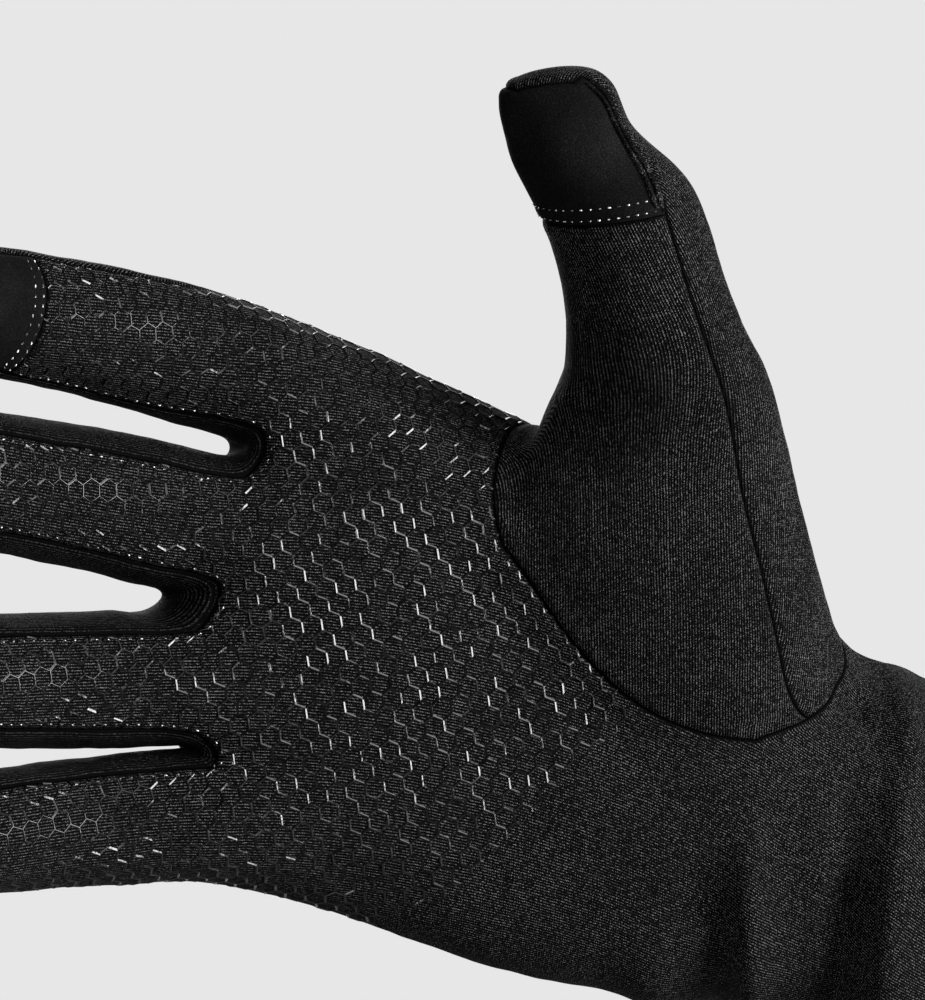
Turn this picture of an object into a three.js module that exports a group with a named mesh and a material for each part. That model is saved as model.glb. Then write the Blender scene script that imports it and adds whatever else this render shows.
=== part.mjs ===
import * as THREE from "three";

// A right-hand stretch sports glove in its worn, slightly open pose. The palm faces -Y, the fingers
// point along -X, the thumb points up, and the cuff opens towards +X. All lengths are in millimetres.

// Named sizes of the glove
const PALM_BREADTH = 92;
const PALM_LENGTH = 96;
const PALM_THICKNESS = 29;
const FINGER_LENGTH = 80;
const FINGER_WIDTH = 20;
const FINGER_DEPTH = 18.5;
const THUMB_LENGTH = 80;
const THUMB_WIDTH = 27;
const THUMB_DEPTH = 21;
const CUFF_LENGTH = 48;
const CUFF_WIDTH = 62;
const CUFF_DEPTH = 44;
const FOLD_DEPTH = 3;

// Cloth wall, and the clearance left between two panels along a seam
const WALL = 1.2;
const SEAM_GAP = 0.3;

// Pose of the hand: the palm is turned about the vertical, so the fingertips come forward
const HAND_TURN = 18;

// Share of the corner distance that a smoothed ring of 8 or 12 corners keeps
const RING_8_KEEPS = 0.902;
const RING_12_KEEPS = 0.955;

// Share of the half thickness added to the palm's corners, which smoothing draws in, and the power of
// its rounded section
const PALM_SWELL = 1.03;
const SECTION_POWER = 3;
const PALM_COLUMNS = 12;

// Cloth whose outward direction points back by more than this has no folds; it fades over the second
const FOLD_FACING = 0.3;
const FOLD_FACING_FADE = 0.5;

// Narrowest turn of a panel's edge that its seam clearance follows
const SEAM_TURN = 0.6;

const radians = THREE.MathUtils.degToRad;
const point = (x, y, z) => new THREE.Vector3(x, y, z);
const mix = (a, b, t) => a.clone().lerp(b, t);
const turnSlope = Math.tan(radians(HAND_TURN));
const palmNormal = point(Math.sin(radians(HAND_TURN)), -Math.cos(radians(HAND_TURN)), 0);

// Along: share of PALM_LENGTH from the finger roots to the wrist. Across: share of PALM_BREADTH from
// the middle of the palm up to the thumb side. The turned palm plane gives the depth.
function onPalm(along, across) {
  const x = along * PALM_LENGTH;
  return point(x, x * turnSlope, across * PALM_BREADTH);
}

// Finger roots, lengths, widths and poses. Root: along and across shares of the root's middle.
// Lean and sway: degrees that the finger leans to the thumb side at its root and at its tip. Bends:
// degrees that each of the finger's three lengths comes forward. Roll: degrees of turn about its length.
const FINGERS = [
  { name: "index", along: 0.045, across: 0.378, half: 1.14, length: 0.89, width: 1.03,
    depth: 1.02, lean: 18.5, sway: 3, bend1: 31, bend2: 46, bend3: 54, roll: -26 },
  { name: "middle", along: -0.02, across: 0.118, half: 1.1, length: 1.0, width: 1.06,
    depth: 1.04, lean: 15, sway: 5, bend1: 33, bend2: 47, bend3: 54, roll: 0 },
  { name: "ring", along: -0.085, across: -0.143, half: 1.08, length: 0.93, width: 1.01,
    depth: 1.0, lean: 1, sway: 1, bend1: 33, bend2: 46, bend3: 53, roll: 0 },
  { name: "little", along: -0.05, across: -0.37, half: 1.1, length: 0.76, width: 0.96,
    depth: 0.94, lean: -3, sway: -4, bend1: 31, bend2: 44, bend3: 52, roll: 4 },
];

// Webs between neighbouring fingers. Set back: share of PALM_LENGTH towards the wrist.
const WEBS = [
  { name: "fourchette_index_middle", setBack: 0.035 },
  { name: "fourchette_middle_ring", setBack: -0.06 },
  { name: "fourchette_ring_little", setBack: 0.03 },
];

// Corners of a finger root. Side and web: shares of its half width. Lifts: shares of its half depth.
const ROOT_DEPTH = 0.4;
const ROOT_SIDE = 0.78;
const ROOT_WEB = 1.02;
const ROOT_SIDE_LIFT = 0.8;
const ROOT_MIDDLE_LIFT = 1.06;

// Rings of corners along each finger. At: share of the finger's length. Width and depth: shares of
// the finger's own width and depth.
const FINGER_RINGS = [
  { at: 0.13, width: 1.08, depth: 1.08 },
  { at: 0.29, width: 1.04, depth: 1.02 },
  { at: 0.46, width: 1.01, depth: 0.98 },
  { at: 0.69, width: 0.975, depth: 0.94 },
  { at: 0.79, width: 0.94, depth: 0.87 },
  { at: 0.91, width: 0.82, depth: 0.74 },
  { at: 0.98, width: 0.54, depth: 0.48 },
];
const FINGER_TIP_RING = 5;
const FINGER_PATCH_RING = 4;
const FIRST_JOINT = 0.36;
const SECOND_JOINT = 0.68;
const JOINT_REACH = 0.07;
const FINGER_CAP = 0.02;

// Rows of the palm from the finger roots to the wrist. Each row runs from the thumb side through its
// bend to the little-finger side. Thick: share of PALM_THICKNESS.
const PALM_ROWS = [
  { sideAlong: 0.27, side: 0.427, bendAlong: 0.18, bend: 0.235, farAlong: 0.1, far: -0.527, thick: 0.9 },
  { sideAlong: 0.53, side: 0.32, bendAlong: 0.425, bend: 0.07, farAlong: 0.3, far: -0.607, thick: 1.0 },
  { sideAlong: 0.69, side: 0.15, bendAlong: 0.505, bend: -0.092, farAlong: 0.47, far: -0.672, thick: 1.06 },
  { sideAlong: 0.86, side: 0.02, bendAlong: 0.64, bend: -0.239, farAlong: 0.64, far: -0.705, thick: 1.13 },
  { sideAlong: 1.02, side: -0.08, bendAlong: 0.844, bend: -0.293, farAlong: 0.79, far: -0.735, thick: 1.25 },
];

// Rows of the cuff. Along: share of CUFF_LENGTH behind the wrist. Width and depth: shares of the
// cuff's own.
const CUFF_ROWS = [
  { along: 0.16, width: 1.0, depth: 0.98 },
  { along: 0.45, width: 1.0, depth: 1.0 },
  { along: 0.8, width: 1.0, depth: 1.02 },
  { along: 1.0, width: 1.0, depth: 1.03 },
];
const CUFF_LEAN = 22;
const WRIST_ALONG = 0.93;
const WRIST_ACROSS = -0.4;

// Where the twelve palm-side corner columns stand, as shares between the ends of a row: the first two
// lie between the thumb side and the bend, the rest between the bend and the little-finger side
const THUMB_SIDE_COLUMNS = [0.17, 0.55, 1.0];
const FAR_SIDE_COLUMNS = [0.12, 0.23, 0.34, 0.44, 0.54, 0.64, 0.74, 0.85, 0.955];
const BACK_COLUMNS = [0.04, 0.134, 0.228, 0.314, 0.398, 0.482, 0.553, 0.637, 0.72, 0.793, 0.879, 0.96];

// The thumb's set-in seam, from the crotch round the front of the thumb's base to the wrist and back
// up behind it. Forward: share of PALM_THICKNESS that the corner lies in front of the palm's middle.
const THUMB_SEAM = [
  { along: 0.562, across: 0.285, forward: -0.05 },
  { along: 0.475, across: 0.255, forward: 0.3 },
  { along: 0.432, across: 0.179, forward: 0.5 },
  { along: 0.425, across: 0.07, forward: 0.58 },
  { along: 0.505, across: -0.092, forward: 0.6 },
  { along: 0.64, across: -0.239, forward: 0.62 },
  { along: 0.8, across: -0.288, forward: 0.64 },
  { along: 0.885, across: -0.285, forward: 0.63 },
  { along: 1.005, across: -0.2, forward: 0.5 },
  { along: 1.035, across: -0.07, forward: 0.05 },
  { along: 0.87, across: 0.04, forward: -0.25 },
  { along: 0.7, across: 0.17, forward: -0.25 },
];

// Rings up the thumb. Right and up: shares of THUMB_LENGTH from the finger roots' line and the
// palm's middle height. Back: share of THUMB_DEPTH. Tilt: degrees that the ring's right end drops.
// Pitch: degrees that its back rises. Seam: angle of the corner that the side seam runs through.
const THUMB_RINGS = [
  { right: 0.889, up: 0.33, back: 0.38, width: 1.46, depth: 1.44, tilt: 12, pitch: 26, seam: 117 },
  { right: 0.889, up: 0.425, back: 0.255, width: 1.27, depth: 1.29, tilt: 4, pitch: 18, seam: 117 },
  { right: 0.857, up: 0.52, back: 0.11, width: 1.05, depth: 1.14, tilt: -6, pitch: 14, seam: 117 },
  { right: 0.831, up: 0.63, back: 0.0, width: 0.92, depth: 1.05, tilt: -8, pitch: 12, seam: 117 },
  { right: 0.783, up: 0.778, back: -0.165, width: 0.965, depth: 1.03, tilt: -7, pitch: 18, seam: 118 },
  { right: 0.741, up: 0.83, back: -0.23, width: 0.87, depth: 1.0, tilt: -12, pitch: 12, seam: 131 },
  { right: 0.676, up: 0.897, back: -0.32, width: 0.69, depth: 0.88, tilt: -14, pitch: 12, seam: 152 },
  { right: 0.663, up: 0.97, back: -0.4, width: 0.71, depth: 0.72, tilt: -12, pitch: 14, seam: 146 },
  { right: 0.641, up: 1.015, back: -0.45, width: 0.57, depth: 0.5, tilt: -10, pitch: 14, seam: 133 },
];
const THUMB_PATCH_RING = 4;
const THUMB_TURN_RING = 6.4;
const THUMB_PATCH_START = 6;
const THUMB_CORNERS = 12;
const THUMB_FRONT_CORNERS = 7;

// The rounded end of the thumb: its rise, as a share of THUMB_LENGTH and a lean to the left and the
// front, and how far its middle corners stand from its centre
const THUMB_CAP = 0.015;
const THUMB_CAP_LEAN = 0.2;
const THUMB_CAP_INSET = 0.36;

// The thumb's ball swells between the set-in seam and the first ring
const BALL_SHARE = 0.5;
const BALL_SWELL = 0.24;

// Angles of the twelve corners of a thumb ring, counted from the finger side over the front
const THUMB_ANGLES = [-35, 0, 25, 50, 72, 91, 106, 117, 152, 190, 235, 280];
const THUMB_TIP_ANGLES = [-28, 2, 30, 58, 84, 110, 135, 158, 184, 214, 246, 284];

// Folds of the cloth in the heel of the hand and the cuff. From and to: along and across shares, reach:
// share of PALM_THICKNESS, rise: share of FOLD_DEPTH, outwards when above zero.
const FOLDS = [
  { along1: 0.785, across1: -0.47, along2: 0.815, across2: -0.8, reach: 0.13, rise: -1.0 },
  { along1: 0.7, across1: -0.6, along2: 0.73, across2: -0.84, reach: 0.16, rise: 0.45 },
  { along1: 0.87, across1: -0.46, along2: 0.89, across2: -0.86, reach: 0.12, rise: 0.7 },
  { along1: 1.03, across1: -0.4, along2: 1.005, across2: -0.86, reach: 0.13, rise: -1.0 },
  { along1: 1.14, across1: -0.28, along2: 1.1, across2: -0.8, reach: 0.16, rise: 0.85 },
  { along1: 0.95, across1: -0.34, along2: 0.96, across2: -0.62, reach: 0.11, rise: -0.35 },
  { along1: 1.03, across1: -0.14, along2: 1.12, across2: -0.3, reach: 0.09, rise: -0.5 },
  { along1: 1.26, across1: -0.4, along2: 1.3, across2: -0.9, reach: 0.14, rise: -0.7 },
];

// A fold grows over these shares of its line and dies away over the next two
const FOLD_STARTS = [-0.35, 0.35];
const FOLD_ENDS = [0.9, 1.5];

// A cage of four-cornered faces, each with the name of its panel
const corners = [];
const faces = [];

function addCorner(position) {
  corners.push(position);
  return corners.length - 1;
}

function addFace(panel, a, b, c, d) {
  faces.push({ panel, ring: [a, b, c, d] });
}

// The palm's rounded section: the share of the half thickness kept at a share of the breadth
function sectionHeight(share) {
  return Math.sqrt(Math.max(0, 1 - Math.abs(2 * share - 1) ** SECTION_POWER));
}

// How far the bend of a joint has set in at a share of the finger's length
function jointShare(at, joint) {
  return THREE.MathUtils.smoothstep(at, joint - JOINT_REACH, joint + JOINT_REACH);
}

// Frame of a finger at a share of its length: middle, direction, width direction and palm side
function fingerFrames(finger) {
  const root = onPalm(finger.along, finger.across);
  const length = finger.length * FINGER_LENGTH;
  const steps = 100;
  const frames = [];
  let middle = root;
  for (let i = 0; i <= steps; i += 1) {
    const at = i / steps;
    const first = (finger.bend2 - finger.bend1) * jointShare(at, FIRST_JOINT);
    const second = (finger.bend3 - finger.bend2) * jointShare(at, SECOND_JOINT);
    const forward = radians(finger.bend1 + first + second);
    const lean = radians(finger.lean + (finger.sway - finger.lean) * at);
    const level = Math.cos(forward);
    const along = point(-level * Math.cos(lean), -Math.sin(forward), level * Math.sin(lean));
    const roll = radians(finger.roll) * THREE.MathUtils.smoothstep(at, 0, FIRST_JOINT);
    const across = point(-Math.sin(lean), 0, -Math.cos(lean)).applyAxisAngle(along, roll);
    frames.push({ middle, along, across, palmSide: along.clone().cross(across) });
    middle = middle.clone().addScaledVector(along, length / steps);
  }
  return (share) => frames[Math.round(share * steps)];
}

// The eight corners of a finger ring: palm side from the thumb side over the middle, the far side,
// the back, and the near side
const FINGER_ANGLES = [-45, 0, 45, 90, 135, 180, 225, 270];

function fingerRing(finger, frame, width, depth) {
  const halfWidth = (width * finger.width * FINGER_WIDTH) / 2 / RING_8_KEEPS;
  const halfDepth = (depth * finger.depth * FINGER_DEPTH) / 2 / RING_8_KEEPS;
  return FINGER_ANGLES.map((angle) =>
    frame.middle
      .clone()
      .addScaledVector(frame.across, Math.sin(radians(angle)) * halfWidth)
      .addScaledVector(frame.palmSide, Math.cos(radians(angle)) * halfDepth),
  );
}

// Finger roots: the palm-side and back corners belong to the knuckle row of the palm, the side corners
// lie in the webs between the fingers
const roots = FINGERS.map((finger) => {
  const root = onPalm(finger.along, finger.across);
  const lean = radians(finger.lean) / 2;
  const across = point(-Math.sin(lean), 0, -Math.cos(lean));
  across.y = across.x * turnSlope;
  const half = (finger.half * FINGER_WIDTH) / 2;
  const lift = (ROOT_DEPTH * PALM_THICKNESS) / RING_8_KEEPS;
  const at = (share, depth) =>
    addCorner(root.clone().addScaledVector(across, share * half).addScaledVector(palmNormal, depth * lift));
  return {
    palm: [at(-ROOT_SIDE, ROOT_SIDE_LIFT), at(0, ROOT_MIDDLE_LIFT), at(ROOT_SIDE, ROOT_SIDE_LIFT)],
    back: [at(ROOT_SIDE, -ROOT_SIDE_LIFT), at(0, -ROOT_MIDDLE_LIFT), at(-ROOT_SIDE, -ROOT_SIDE_LIFT)],
    near: at(-ROOT_WEB, 0),
    far: at(ROOT_WEB, 0),
  };
});

WEBS.forEach((web, i) => {
  corners[roots[i].far].x += web.setBack * PALM_LENGTH;
  corners[roots[i + 1].near].x += web.setBack * PALM_LENGTH;
});

// Palm rows of corners: 12 on the palm side, the far side, 12 on the back, the near side
const rows = [
  {
    palm: roots.flatMap((root) => root.palm),
    far: roots[3].far,
    back: roots.flatMap((root) => [...root.back].reverse()),
    near: roots[0].near,
  },
];

PALM_ROWS.forEach((row) => {
  const side = onPalm(row.sideAlong, row.side);
  const bend = onPalm(row.bendAlong, row.bend);
  const far = onPalm(row.farAlong, row.far);
  const half = (row.thick * PALM_THICKNESS * PALM_SWELL) / 2;
  const width = side.distanceTo(far);
  const front = [
    ...THUMB_SIDE_COLUMNS.map((share) => mix(side, bend, share)),
    ...FAR_SIDE_COLUMNS.map((share) => mix(bend, far, share)),
  ];
  rows.push({
    palm: front.map((p) => {
      const share = Math.min(1, p.distanceTo(side) / width);
      return addCorner(p.clone().addScaledVector(palmNormal, half * sectionHeight(share)));
    }),
    far: addCorner(far.clone()),
    back: BACK_COLUMNS.map((share) =>
      addCorner(mix(side, far, share).addScaledVector(palmNormal, -half * sectionHeight(share))),
    ),
    near: addCorner(side.clone()),
  });
});

// Cuff rows: an oval about the forearm's own direction
const wrist = onPalm(WRIST_ALONG, WRIST_ACROSS);
const cuffLean = radians(CUFF_LEAN);
const cuffSlant = -Math.sin(cuffLean);
const cuffAcross = point(cuffSlant, cuffSlant * turnSlope, -Math.cos(cuffLean)).normalize();
const cuffAlong = palmNormal.clone().cross(cuffAcross).normalize();
const cuffMiddle = (share) => wrist.clone().addScaledVector(cuffAlong, share * CUFF_LENGTH);

CUFF_ROWS.forEach((row) => {
  const middle = cuffMiddle(row.along);
  const halfWidth = (row.width * CUFF_WIDTH) / 2;
  const halfDepth = (row.depth * CUFF_DEPTH) / 2;
  const at = (share, sign) => {
    const turn = Math.PI * share;
    return addCorner(
      middle
        .clone()
        .addScaledVector(cuffAcross, -Math.cos(turn) * halfWidth)
        .addScaledVector(palmNormal, Math.sin(turn) * halfDepth * sign),
    );
  };
  const shares = Array.from({ length: PALM_COLUMNS }, (_, i) => (i + 1) / (PALM_COLUMNS + 1));
  rows.push({
    palm: shares.map((share) => at(share, 1)),
    far: at(1, 1),
    back: shares.map((share) => at(share, -1)),
    near: at(0, 1),
  });
});

// The thumb's base loop takes the place of the corners of a block of the palm's faces
const THUMB_FIRST_ROW = 2;
const THUMB_LAST_ROW = 5;
const THUMB_COLUMNS = 3;
const loopSlots = [
  [2, "near"], [2, 0], [2, 1], [2, 2], [3, 2], [4, 2],
  [5, 2], [5, 1], [5, 0], [5, "near"], [4, "near"], [3, "near"],
];
const loop = loopSlots.map(([row, slot], i) => {
  const seam = THUMB_SEAM[i];
  const place = onPalm(seam.along, seam.across).addScaledVector(palmNormal, seam.forward * PALM_THICKNESS);
  const index = slot === "near" ? rows[row].near : rows[row].palm[slot];
  corners[index].copy(place);
  return index;
});

// Faces of the palm, the back and the cuff
rows.slice(1).forEach((row, i) => {
  const ahead = rows[i];
  const front = [ahead.near, ...ahead.palm, ahead.far];
  const frontNext = [row.near, ...row.palm, row.far];
  const back = [ahead.near, ...ahead.back, ahead.far];
  const backNext = [row.near, ...row.back, row.far];
  const hem = i === rows.length - 2;
  front.slice(1).forEach((_, c) => {
    const inThumb = i >= THUMB_FIRST_ROW && i < THUMB_LAST_ROW && c < THUMB_COLUMNS;
    const palmName = hem ? "cuff_hem" : "palm_panel";
    const backName = hem ? "cuff_hem" : "back_panel";
    if (!inThumb) addFace(palmName, front[c], front[c + 1], frontNext[c + 1], frontNext[c]);
    addFace(backName, back[c + 1], back[c], backNext[c], backNext[c + 1]);
  });
});

// Webs between neighbouring fingers
WEBS.forEach(({ name }, i) => {
  const a = roots[i];
  const b = roots[i + 1];
  addFace(name, a.palm[2], a.far, b.near, b.palm[0]);
  addFace(name, a.far, a.back[0], b.back[2], b.near);
});

// Fingers: the ring order is palm near, palm middle, palm far, far side, back far, back middle, back
// near, near side
FINGERS.forEach((finger, i) => {
  const frames = fingerFrames(finger);
  const root = roots[i];
  let last = [...root.palm, root.far, ...root.back, root.near];
  const farSides = i < FINGERS.length - 1 ? [WEBS[i].name, WEBS[i].name] : ["palm_panel", "back_panel"];
  FINGER_RINGS.forEach((row, r) => {
    const ring = fingerRing(finger, frames(row.at), row.width, row.depth).map(addCorner);
    const front = i === 0 && r >= FINGER_PATCH_RING ? "index_touch_patch" : "palm_panel";
    const nearSides = i > 0 ? [WEBS[i - 1].name, WEBS[i - 1].name] : ["back_panel", front];
    const tipSides = [front, front, front, "back_panel", "back_panel", "back_panel", "back_panel", front];
    const sides = [front, front, ...farSides, "back_panel", "back_panel", ...nearSides];
    const panels = r >= FINGER_TIP_RING ? tipSides : sides;
    ring.forEach((_, k) => {
      const n = (k + 1) % 8;
      addFace(panels[k], last[k], ring[k], ring[n], last[n]);
    });
    last = ring;
  });
  const end = frames(1);
  const rise = FINGER_CAP * finger.length * FINGER_LENGTH;
  const cap = addCorner(end.middle.clone().addScaledVector(end.along, rise));
  const front = i === 0 ? "index_touch_patch" : "palm_panel";
  addFace(front, last[7], cap, last[1], last[0]);
  addFace(front, last[1], cap, last[3], last[2]);
  addFace("back_panel", last[3], cap, last[5], last[4]);
  addFace("back_panel", last[5], cap, last[7], last[6]);
});

// Thumb: rings from the base loop to the tip
const thumbRings = THUMB_RINGS.map((row, r) => {
  const middle = point(row.right * THUMB_LENGTH, row.back * THUMB_DEPTH, row.up * THUMB_LENGTH);
  const halfWidth = (row.width * THUMB_WIDTH) / 2 / RING_12_KEEPS;
  const halfDepth = (row.depth * THUMB_DEPTH) / 2 / RING_12_KEEPS;
  const tilt = radians(row.tilt);
  const rightward = point(Math.cos(tilt), 0, -Math.sin(tilt));
  const backward = point(0, Math.cos(radians(row.pitch)), Math.sin(radians(row.pitch)));
  const tip = THREE.MathUtils.smoothstep(r, THUMB_PATCH_RING, THUMB_TURN_RING);
  const turns = THUMB_ANGLES.map((base, k) => base + (THUMB_TIP_ANGLES[k] - base) * tip);
  const spread = (row.seam - turns[0]) / (turns[THUMB_FRONT_CORNERS] - turns[0]);
  const ring = turns.map((turn, k) => {
    const angle = radians(k > THUMB_FRONT_CORNERS ? turn : turns[0] + (turn - turns[0]) * spread);
    return addCorner(
      middle
        .clone()
        .addScaledVector(rightward, -Math.cos(angle) * halfWidth)
        .addScaledVector(backward, -Math.sin(angle) * halfDepth),
    );
  });
  return ring;
});

// The ball of the thumb lies between the seam's loop and the first ring
const firstRing = thumbRings[0];
const ballMiddle = loop
  .reduce((sum, k, i) => sum.add(mix(corners[k], corners[firstRing[i]], BALL_SHARE)), point(0, 0, 0))
  .multiplyScalar(1 / THUMB_CORNERS);
const ball = loop.map((k, i) => {
  const place = mix(corners[k], corners[firstRing[i]], BALL_SHARE);
  const outward = place.clone().sub(ballMiddle).normalize();
  const front = Math.max(0, Math.sin(radians(THUMB_ANGLES[i])));
  return addCorner(place.addScaledVector(outward, BALL_SWELL * THUMB_DEPTH * front ** 3));
});
[loop, ball, ...thumbRings].forEach((ring, r, all) => {
  if (r === 0) return;
  const front = r > THUMB_PATCH_START ? "thumb_touch_patch" : "thumb_front_panel";
  const below = all[r - 1];
  ring.forEach((_, k) => {
    const n = (k + 1) % THUMB_CORNERS;
    const panel = k < THUMB_FRONT_CORNERS ? front : "thumb_back_panel";
    addFace(panel, below[k], below[n], ring[n], ring[k]);
  });
});

// The rounded end of the thumb closes its last ring with nine faces, which the back strip wraps over
const end = thumbRings[thumbRings.length - 1];
const endMiddle = end
  .reduce((sum, k) => sum.add(corners[k]), point(0, 0, 0))
  .multiplyScalar(1 / THUMB_CORNERS);
const endRise = point(-THUMB_CAP_LEAN, -THUMB_CAP_LEAN, 1).multiplyScalar(THUMB_CAP * THUMB_LENGTH);
const inner = [0, 3, 6, 9].map((k) =>
  addCorner(mix(endMiddle, corners[end[k]], THUMB_CAP_INSET).add(endRise)),
);
addFace("thumb_back_panel", end[0], end[1], inner[0], end[11]);
addFace("thumb_back_panel", end[1], end[2], inner[1], inner[0]);
addFace("thumb_back_panel", end[2], end[3], end[4], inner[1]);
addFace("thumb_back_panel", inner[1], end[4], end[5], inner[2]);
addFace("thumb_back_panel", inner[2], end[5], end[6], end[7]);
addFace("thumb_back_panel", inner[0], inner[1], inner[2], inner[3]);
addFace("thumb_back_panel", inner[3], inner[2], end[7], end[8]);
addFace("thumb_back_panel", end[10], inner[3], end[8], end[9]);
addFace("thumb_back_panel", end[11], inner[0], inner[3], end[10]);

// One round of smoothing that splits each face in four. The corners keep their numbers. A corner on the
// open rim moves by this share towards the middle of its two neighbours.
const RIM_DRAW = 0.25;

function subdivide(points, quads) {
  const facePoints = quads.map(({ ring }) =>
    ring.reduce((sum, k) => sum.add(points[k]), point(0, 0, 0)).multiplyScalar(0.25),
  );
  const edges = new Map();
  const touching = points.map(() => ({ faces: [], edges: [] }));
  quads.forEach(({ ring }, f) => {
    ring.forEach((a, k) => {
      const b = ring[(k + 1) % 4];
      const key = a < b ? a + "_" + b : b + "_" + a;
      if (!edges.has(key)) {
        edges.set(key, { a: Math.min(a, b), b: Math.max(a, b), faces: [] });
        touching[a].edges.push(key);
        touching[b].edges.push(key);
      }
      edges.get(key).faces.push(f);
      touching[a].faces.push(f);
    });
  });
  const made = points.map((p, i) => {
    const { faces: around, edges: spokes } = touching[i];
    const rim = spokes.filter((key) => edges.get(key).faces.length === 1);
    const other = (key) => points[edges.get(key).a === i ? edges.get(key).b : edges.get(key).a];
    if (rim.length === 2) {
      const beside = mix(other(rim[0]), other(rim[1]), 0.5);
      return mix(p, beside, RIM_DRAW);
    }
    const n = around.length;
    const sum = p.clone().multiplyScalar((n - 2) / n);
    spokes.forEach((key) => sum.addScaledVector(other(key), 1 / n / n));
    around.forEach((f) => sum.addScaledVector(facePoints[f], 1 / n / n));
    return sum;
  });
  const faceStart = made.length;
  facePoints.forEach((p) => made.push(p.clone()));
  const edgeIndex = new Map();
  edges.forEach((edge, key) => {
    const middle = points[edge.a].clone().add(points[edge.b]);
    const inner = edge.faces.length === 2;
    if (inner) edge.faces.forEach((f) => middle.add(facePoints[f]));
    edgeIndex.set(key, made.length);
    made.push(middle.multiplyScalar(inner ? 0.25 : 0.5));
  });
  const split = quads.flatMap(({ panel, ring }, f) =>
    ring.map((a, k) => {
      const b = ring[(k + 1) % 4];
      const z = ring[(k + 3) % 4];
      const next = a < b ? a + "_" + b : b + "_" + a;
      const before = a < z ? a + "_" + z : z + "_" + a;
      return { panel, ring: [a, edgeIndex.get(next), faceStart + f, edgeIndex.get(before)] };
    }),
  );
  return { points: made, quads: split };
}

const once = subdivide(corners, faces);
const twice = subdivide(once.points, once.quads);
const thrice = subdivide(twice.points, twice.quads);
const surface = once.points.map((_, i) => thrice.points[i].clone());

// Outward direction at each point of the smoothed surface
function outwards(points) {
  const sums = points.map(() => point(0, 0, 0));
  once.quads.forEach(({ ring }) => {
    const [a, b, c, d] = ring.map((k) => points[k]);
    const across = c.clone().sub(a).cross(d.clone().sub(b));
    ring.forEach((k) => sums[k].add(across));
  });
  return sums.map((sum) => sum.normalize());
}

// The folds press or lift the cloth along short lines, fading at both ends
const flatNormals = outwards(surface);
surface.forEach((p, i) => {
  if (flatNormals[i].y > FOLD_FACING) return;
  let rise = 0;
  FOLDS.forEach((fold) => {
    const from = onPalm(fold.along1, fold.across1);
    const to = onPalm(fold.along2, fold.across2);
    const run = point(to.x - from.x, 0, to.z - from.z);
    const away = point(p.x - from.x, 0, p.z - from.z);
    const share = away.dot(run) / run.lengthSq();
    const off = away.addScaledVector(run, -share).length() / (fold.reach * PALM_THICKNESS);
    const grown = THREE.MathUtils.smoothstep(share, ...FOLD_STARTS);
    const gone = THREE.MathUtils.smoothstep(share, ...FOLD_ENDS);
    rise += fold.rise * FOLD_DEPTH * grown * (1 - gone) * Math.exp(-off * off);
  });
  const turned = THREE.MathUtils.smoothstep(FOLD_FACING - flatNormals[i].y, 0, FOLD_FACING_FADE);
  p.addScaledVector(flatNormals[i], rise * turned);
});
const normals = outwards(surface);

// The part's origin is the middle of the cuff's opening
const origin = cuffMiddle(1);

// A panel as a thick sheet: the outer face, the inner face one wall further in, and the cut edges,
// which stand back from the seam by half its gap
function panelGeometry(panel) {
  const own = once.quads.filter((quad) => quad.panel === panel).map((quad) => quad.ring);
  const used = new Map();
  own.flat().forEach((k) => {
    if (!used.has(k)) used.set(k, used.size);
  });
  const sides = new Set();
  own.forEach((ring) => ring.forEach((a, k) => sides.add(a + "_" + ring[(k + 1) % 4])));
  const rim = [];
  own.forEach((ring) => {
    ring.forEach((a, k) => {
      const b = ring[(k + 1) % 4];
      if (!sides.has(b + "_" + a)) rim.push([a, b]);
    });
  });
  const pulls = new Map();
  rim.forEach(([a, b]) => {
    const along = surface[b].clone().sub(surface[a]).normalize();
    [a, b].forEach((k) => {
      const pull = normals[k].clone().cross(along).normalize();
      pulls.set(k, [...(pulls.get(k) || []), pull]);
    });
  });
  const count = used.size;
  const positions = new Float32Array(count * 6);
  used.forEach((slot, k) => {
    const outer = surface[k].clone();
    const list = pulls.get(k);
    if (list) {
      const sum = list.reduce((total, pull) => total.add(pull), point(0, 0, 0)).normalize();
      const reach = Math.max(SEAM_TURN, sum.dot(list[0]));
      outer.addScaledVector(sum, SEAM_GAP / 2 / reach);
    }
    const inner = outer.clone().addScaledVector(normals[k], -WALL);
    outer.sub(origin).toArray(positions, slot * 3);
    inner.sub(origin).toArray(positions, (slot + count) * 3);
  });
  const index = [];
  own.forEach((ring) => {
    const [a, b, c, d] = ring.map((k) => used.get(k));
    index.push(a, b, c, a, c, d);
    index.push(a + count, c + count, b + count, a + count, d + count, c + count);
  });
  rim.forEach(([a, b]) => {
    const from = used.get(a);
    const to = used.get(b);
    if (a < b) index.push(from, to + count, to, from, from + count, to + count);
    else index.push(from, from + count, to, from + count, to + count, to);
  });
  const geometry = new THREE.BufferGeometry();
  geometry.setAttribute("position", new THREE.BufferAttribute(positions, 3));
  geometry.setIndex(index);
  geometry.computeVertexNormals();
  return geometry;
}

const knit = { color: 0x1a1a1b, roughness: 0.85, metalness: 0 };
const suede = { color: 0x121213, roughness: 0.95, metalness: 0 };
const PANELS = [
  ["palm_panel", knit],
  ["back_panel", knit],
  ["fourchette_index_middle", knit],
  ["fourchette_middle_ring", knit],
  ["fourchette_ring_little", knit],
  ["thumb_front_panel", knit],
  ["thumb_back_panel", knit],
  ["thumb_touch_patch", suede],
  ["index_touch_patch", suede],
  ["cuff_hem", knit],
];

const glove = new THREE.Group();
glove.name = "glove";
PANELS.forEach(([name, look]) => {
  const mesh = new THREE.Mesh(panelGeometry(name), new THREE.MeshStandardMaterial(look));
  mesh.name = name;
  glove.add(mesh);
});

export default glove;
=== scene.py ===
import math

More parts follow.
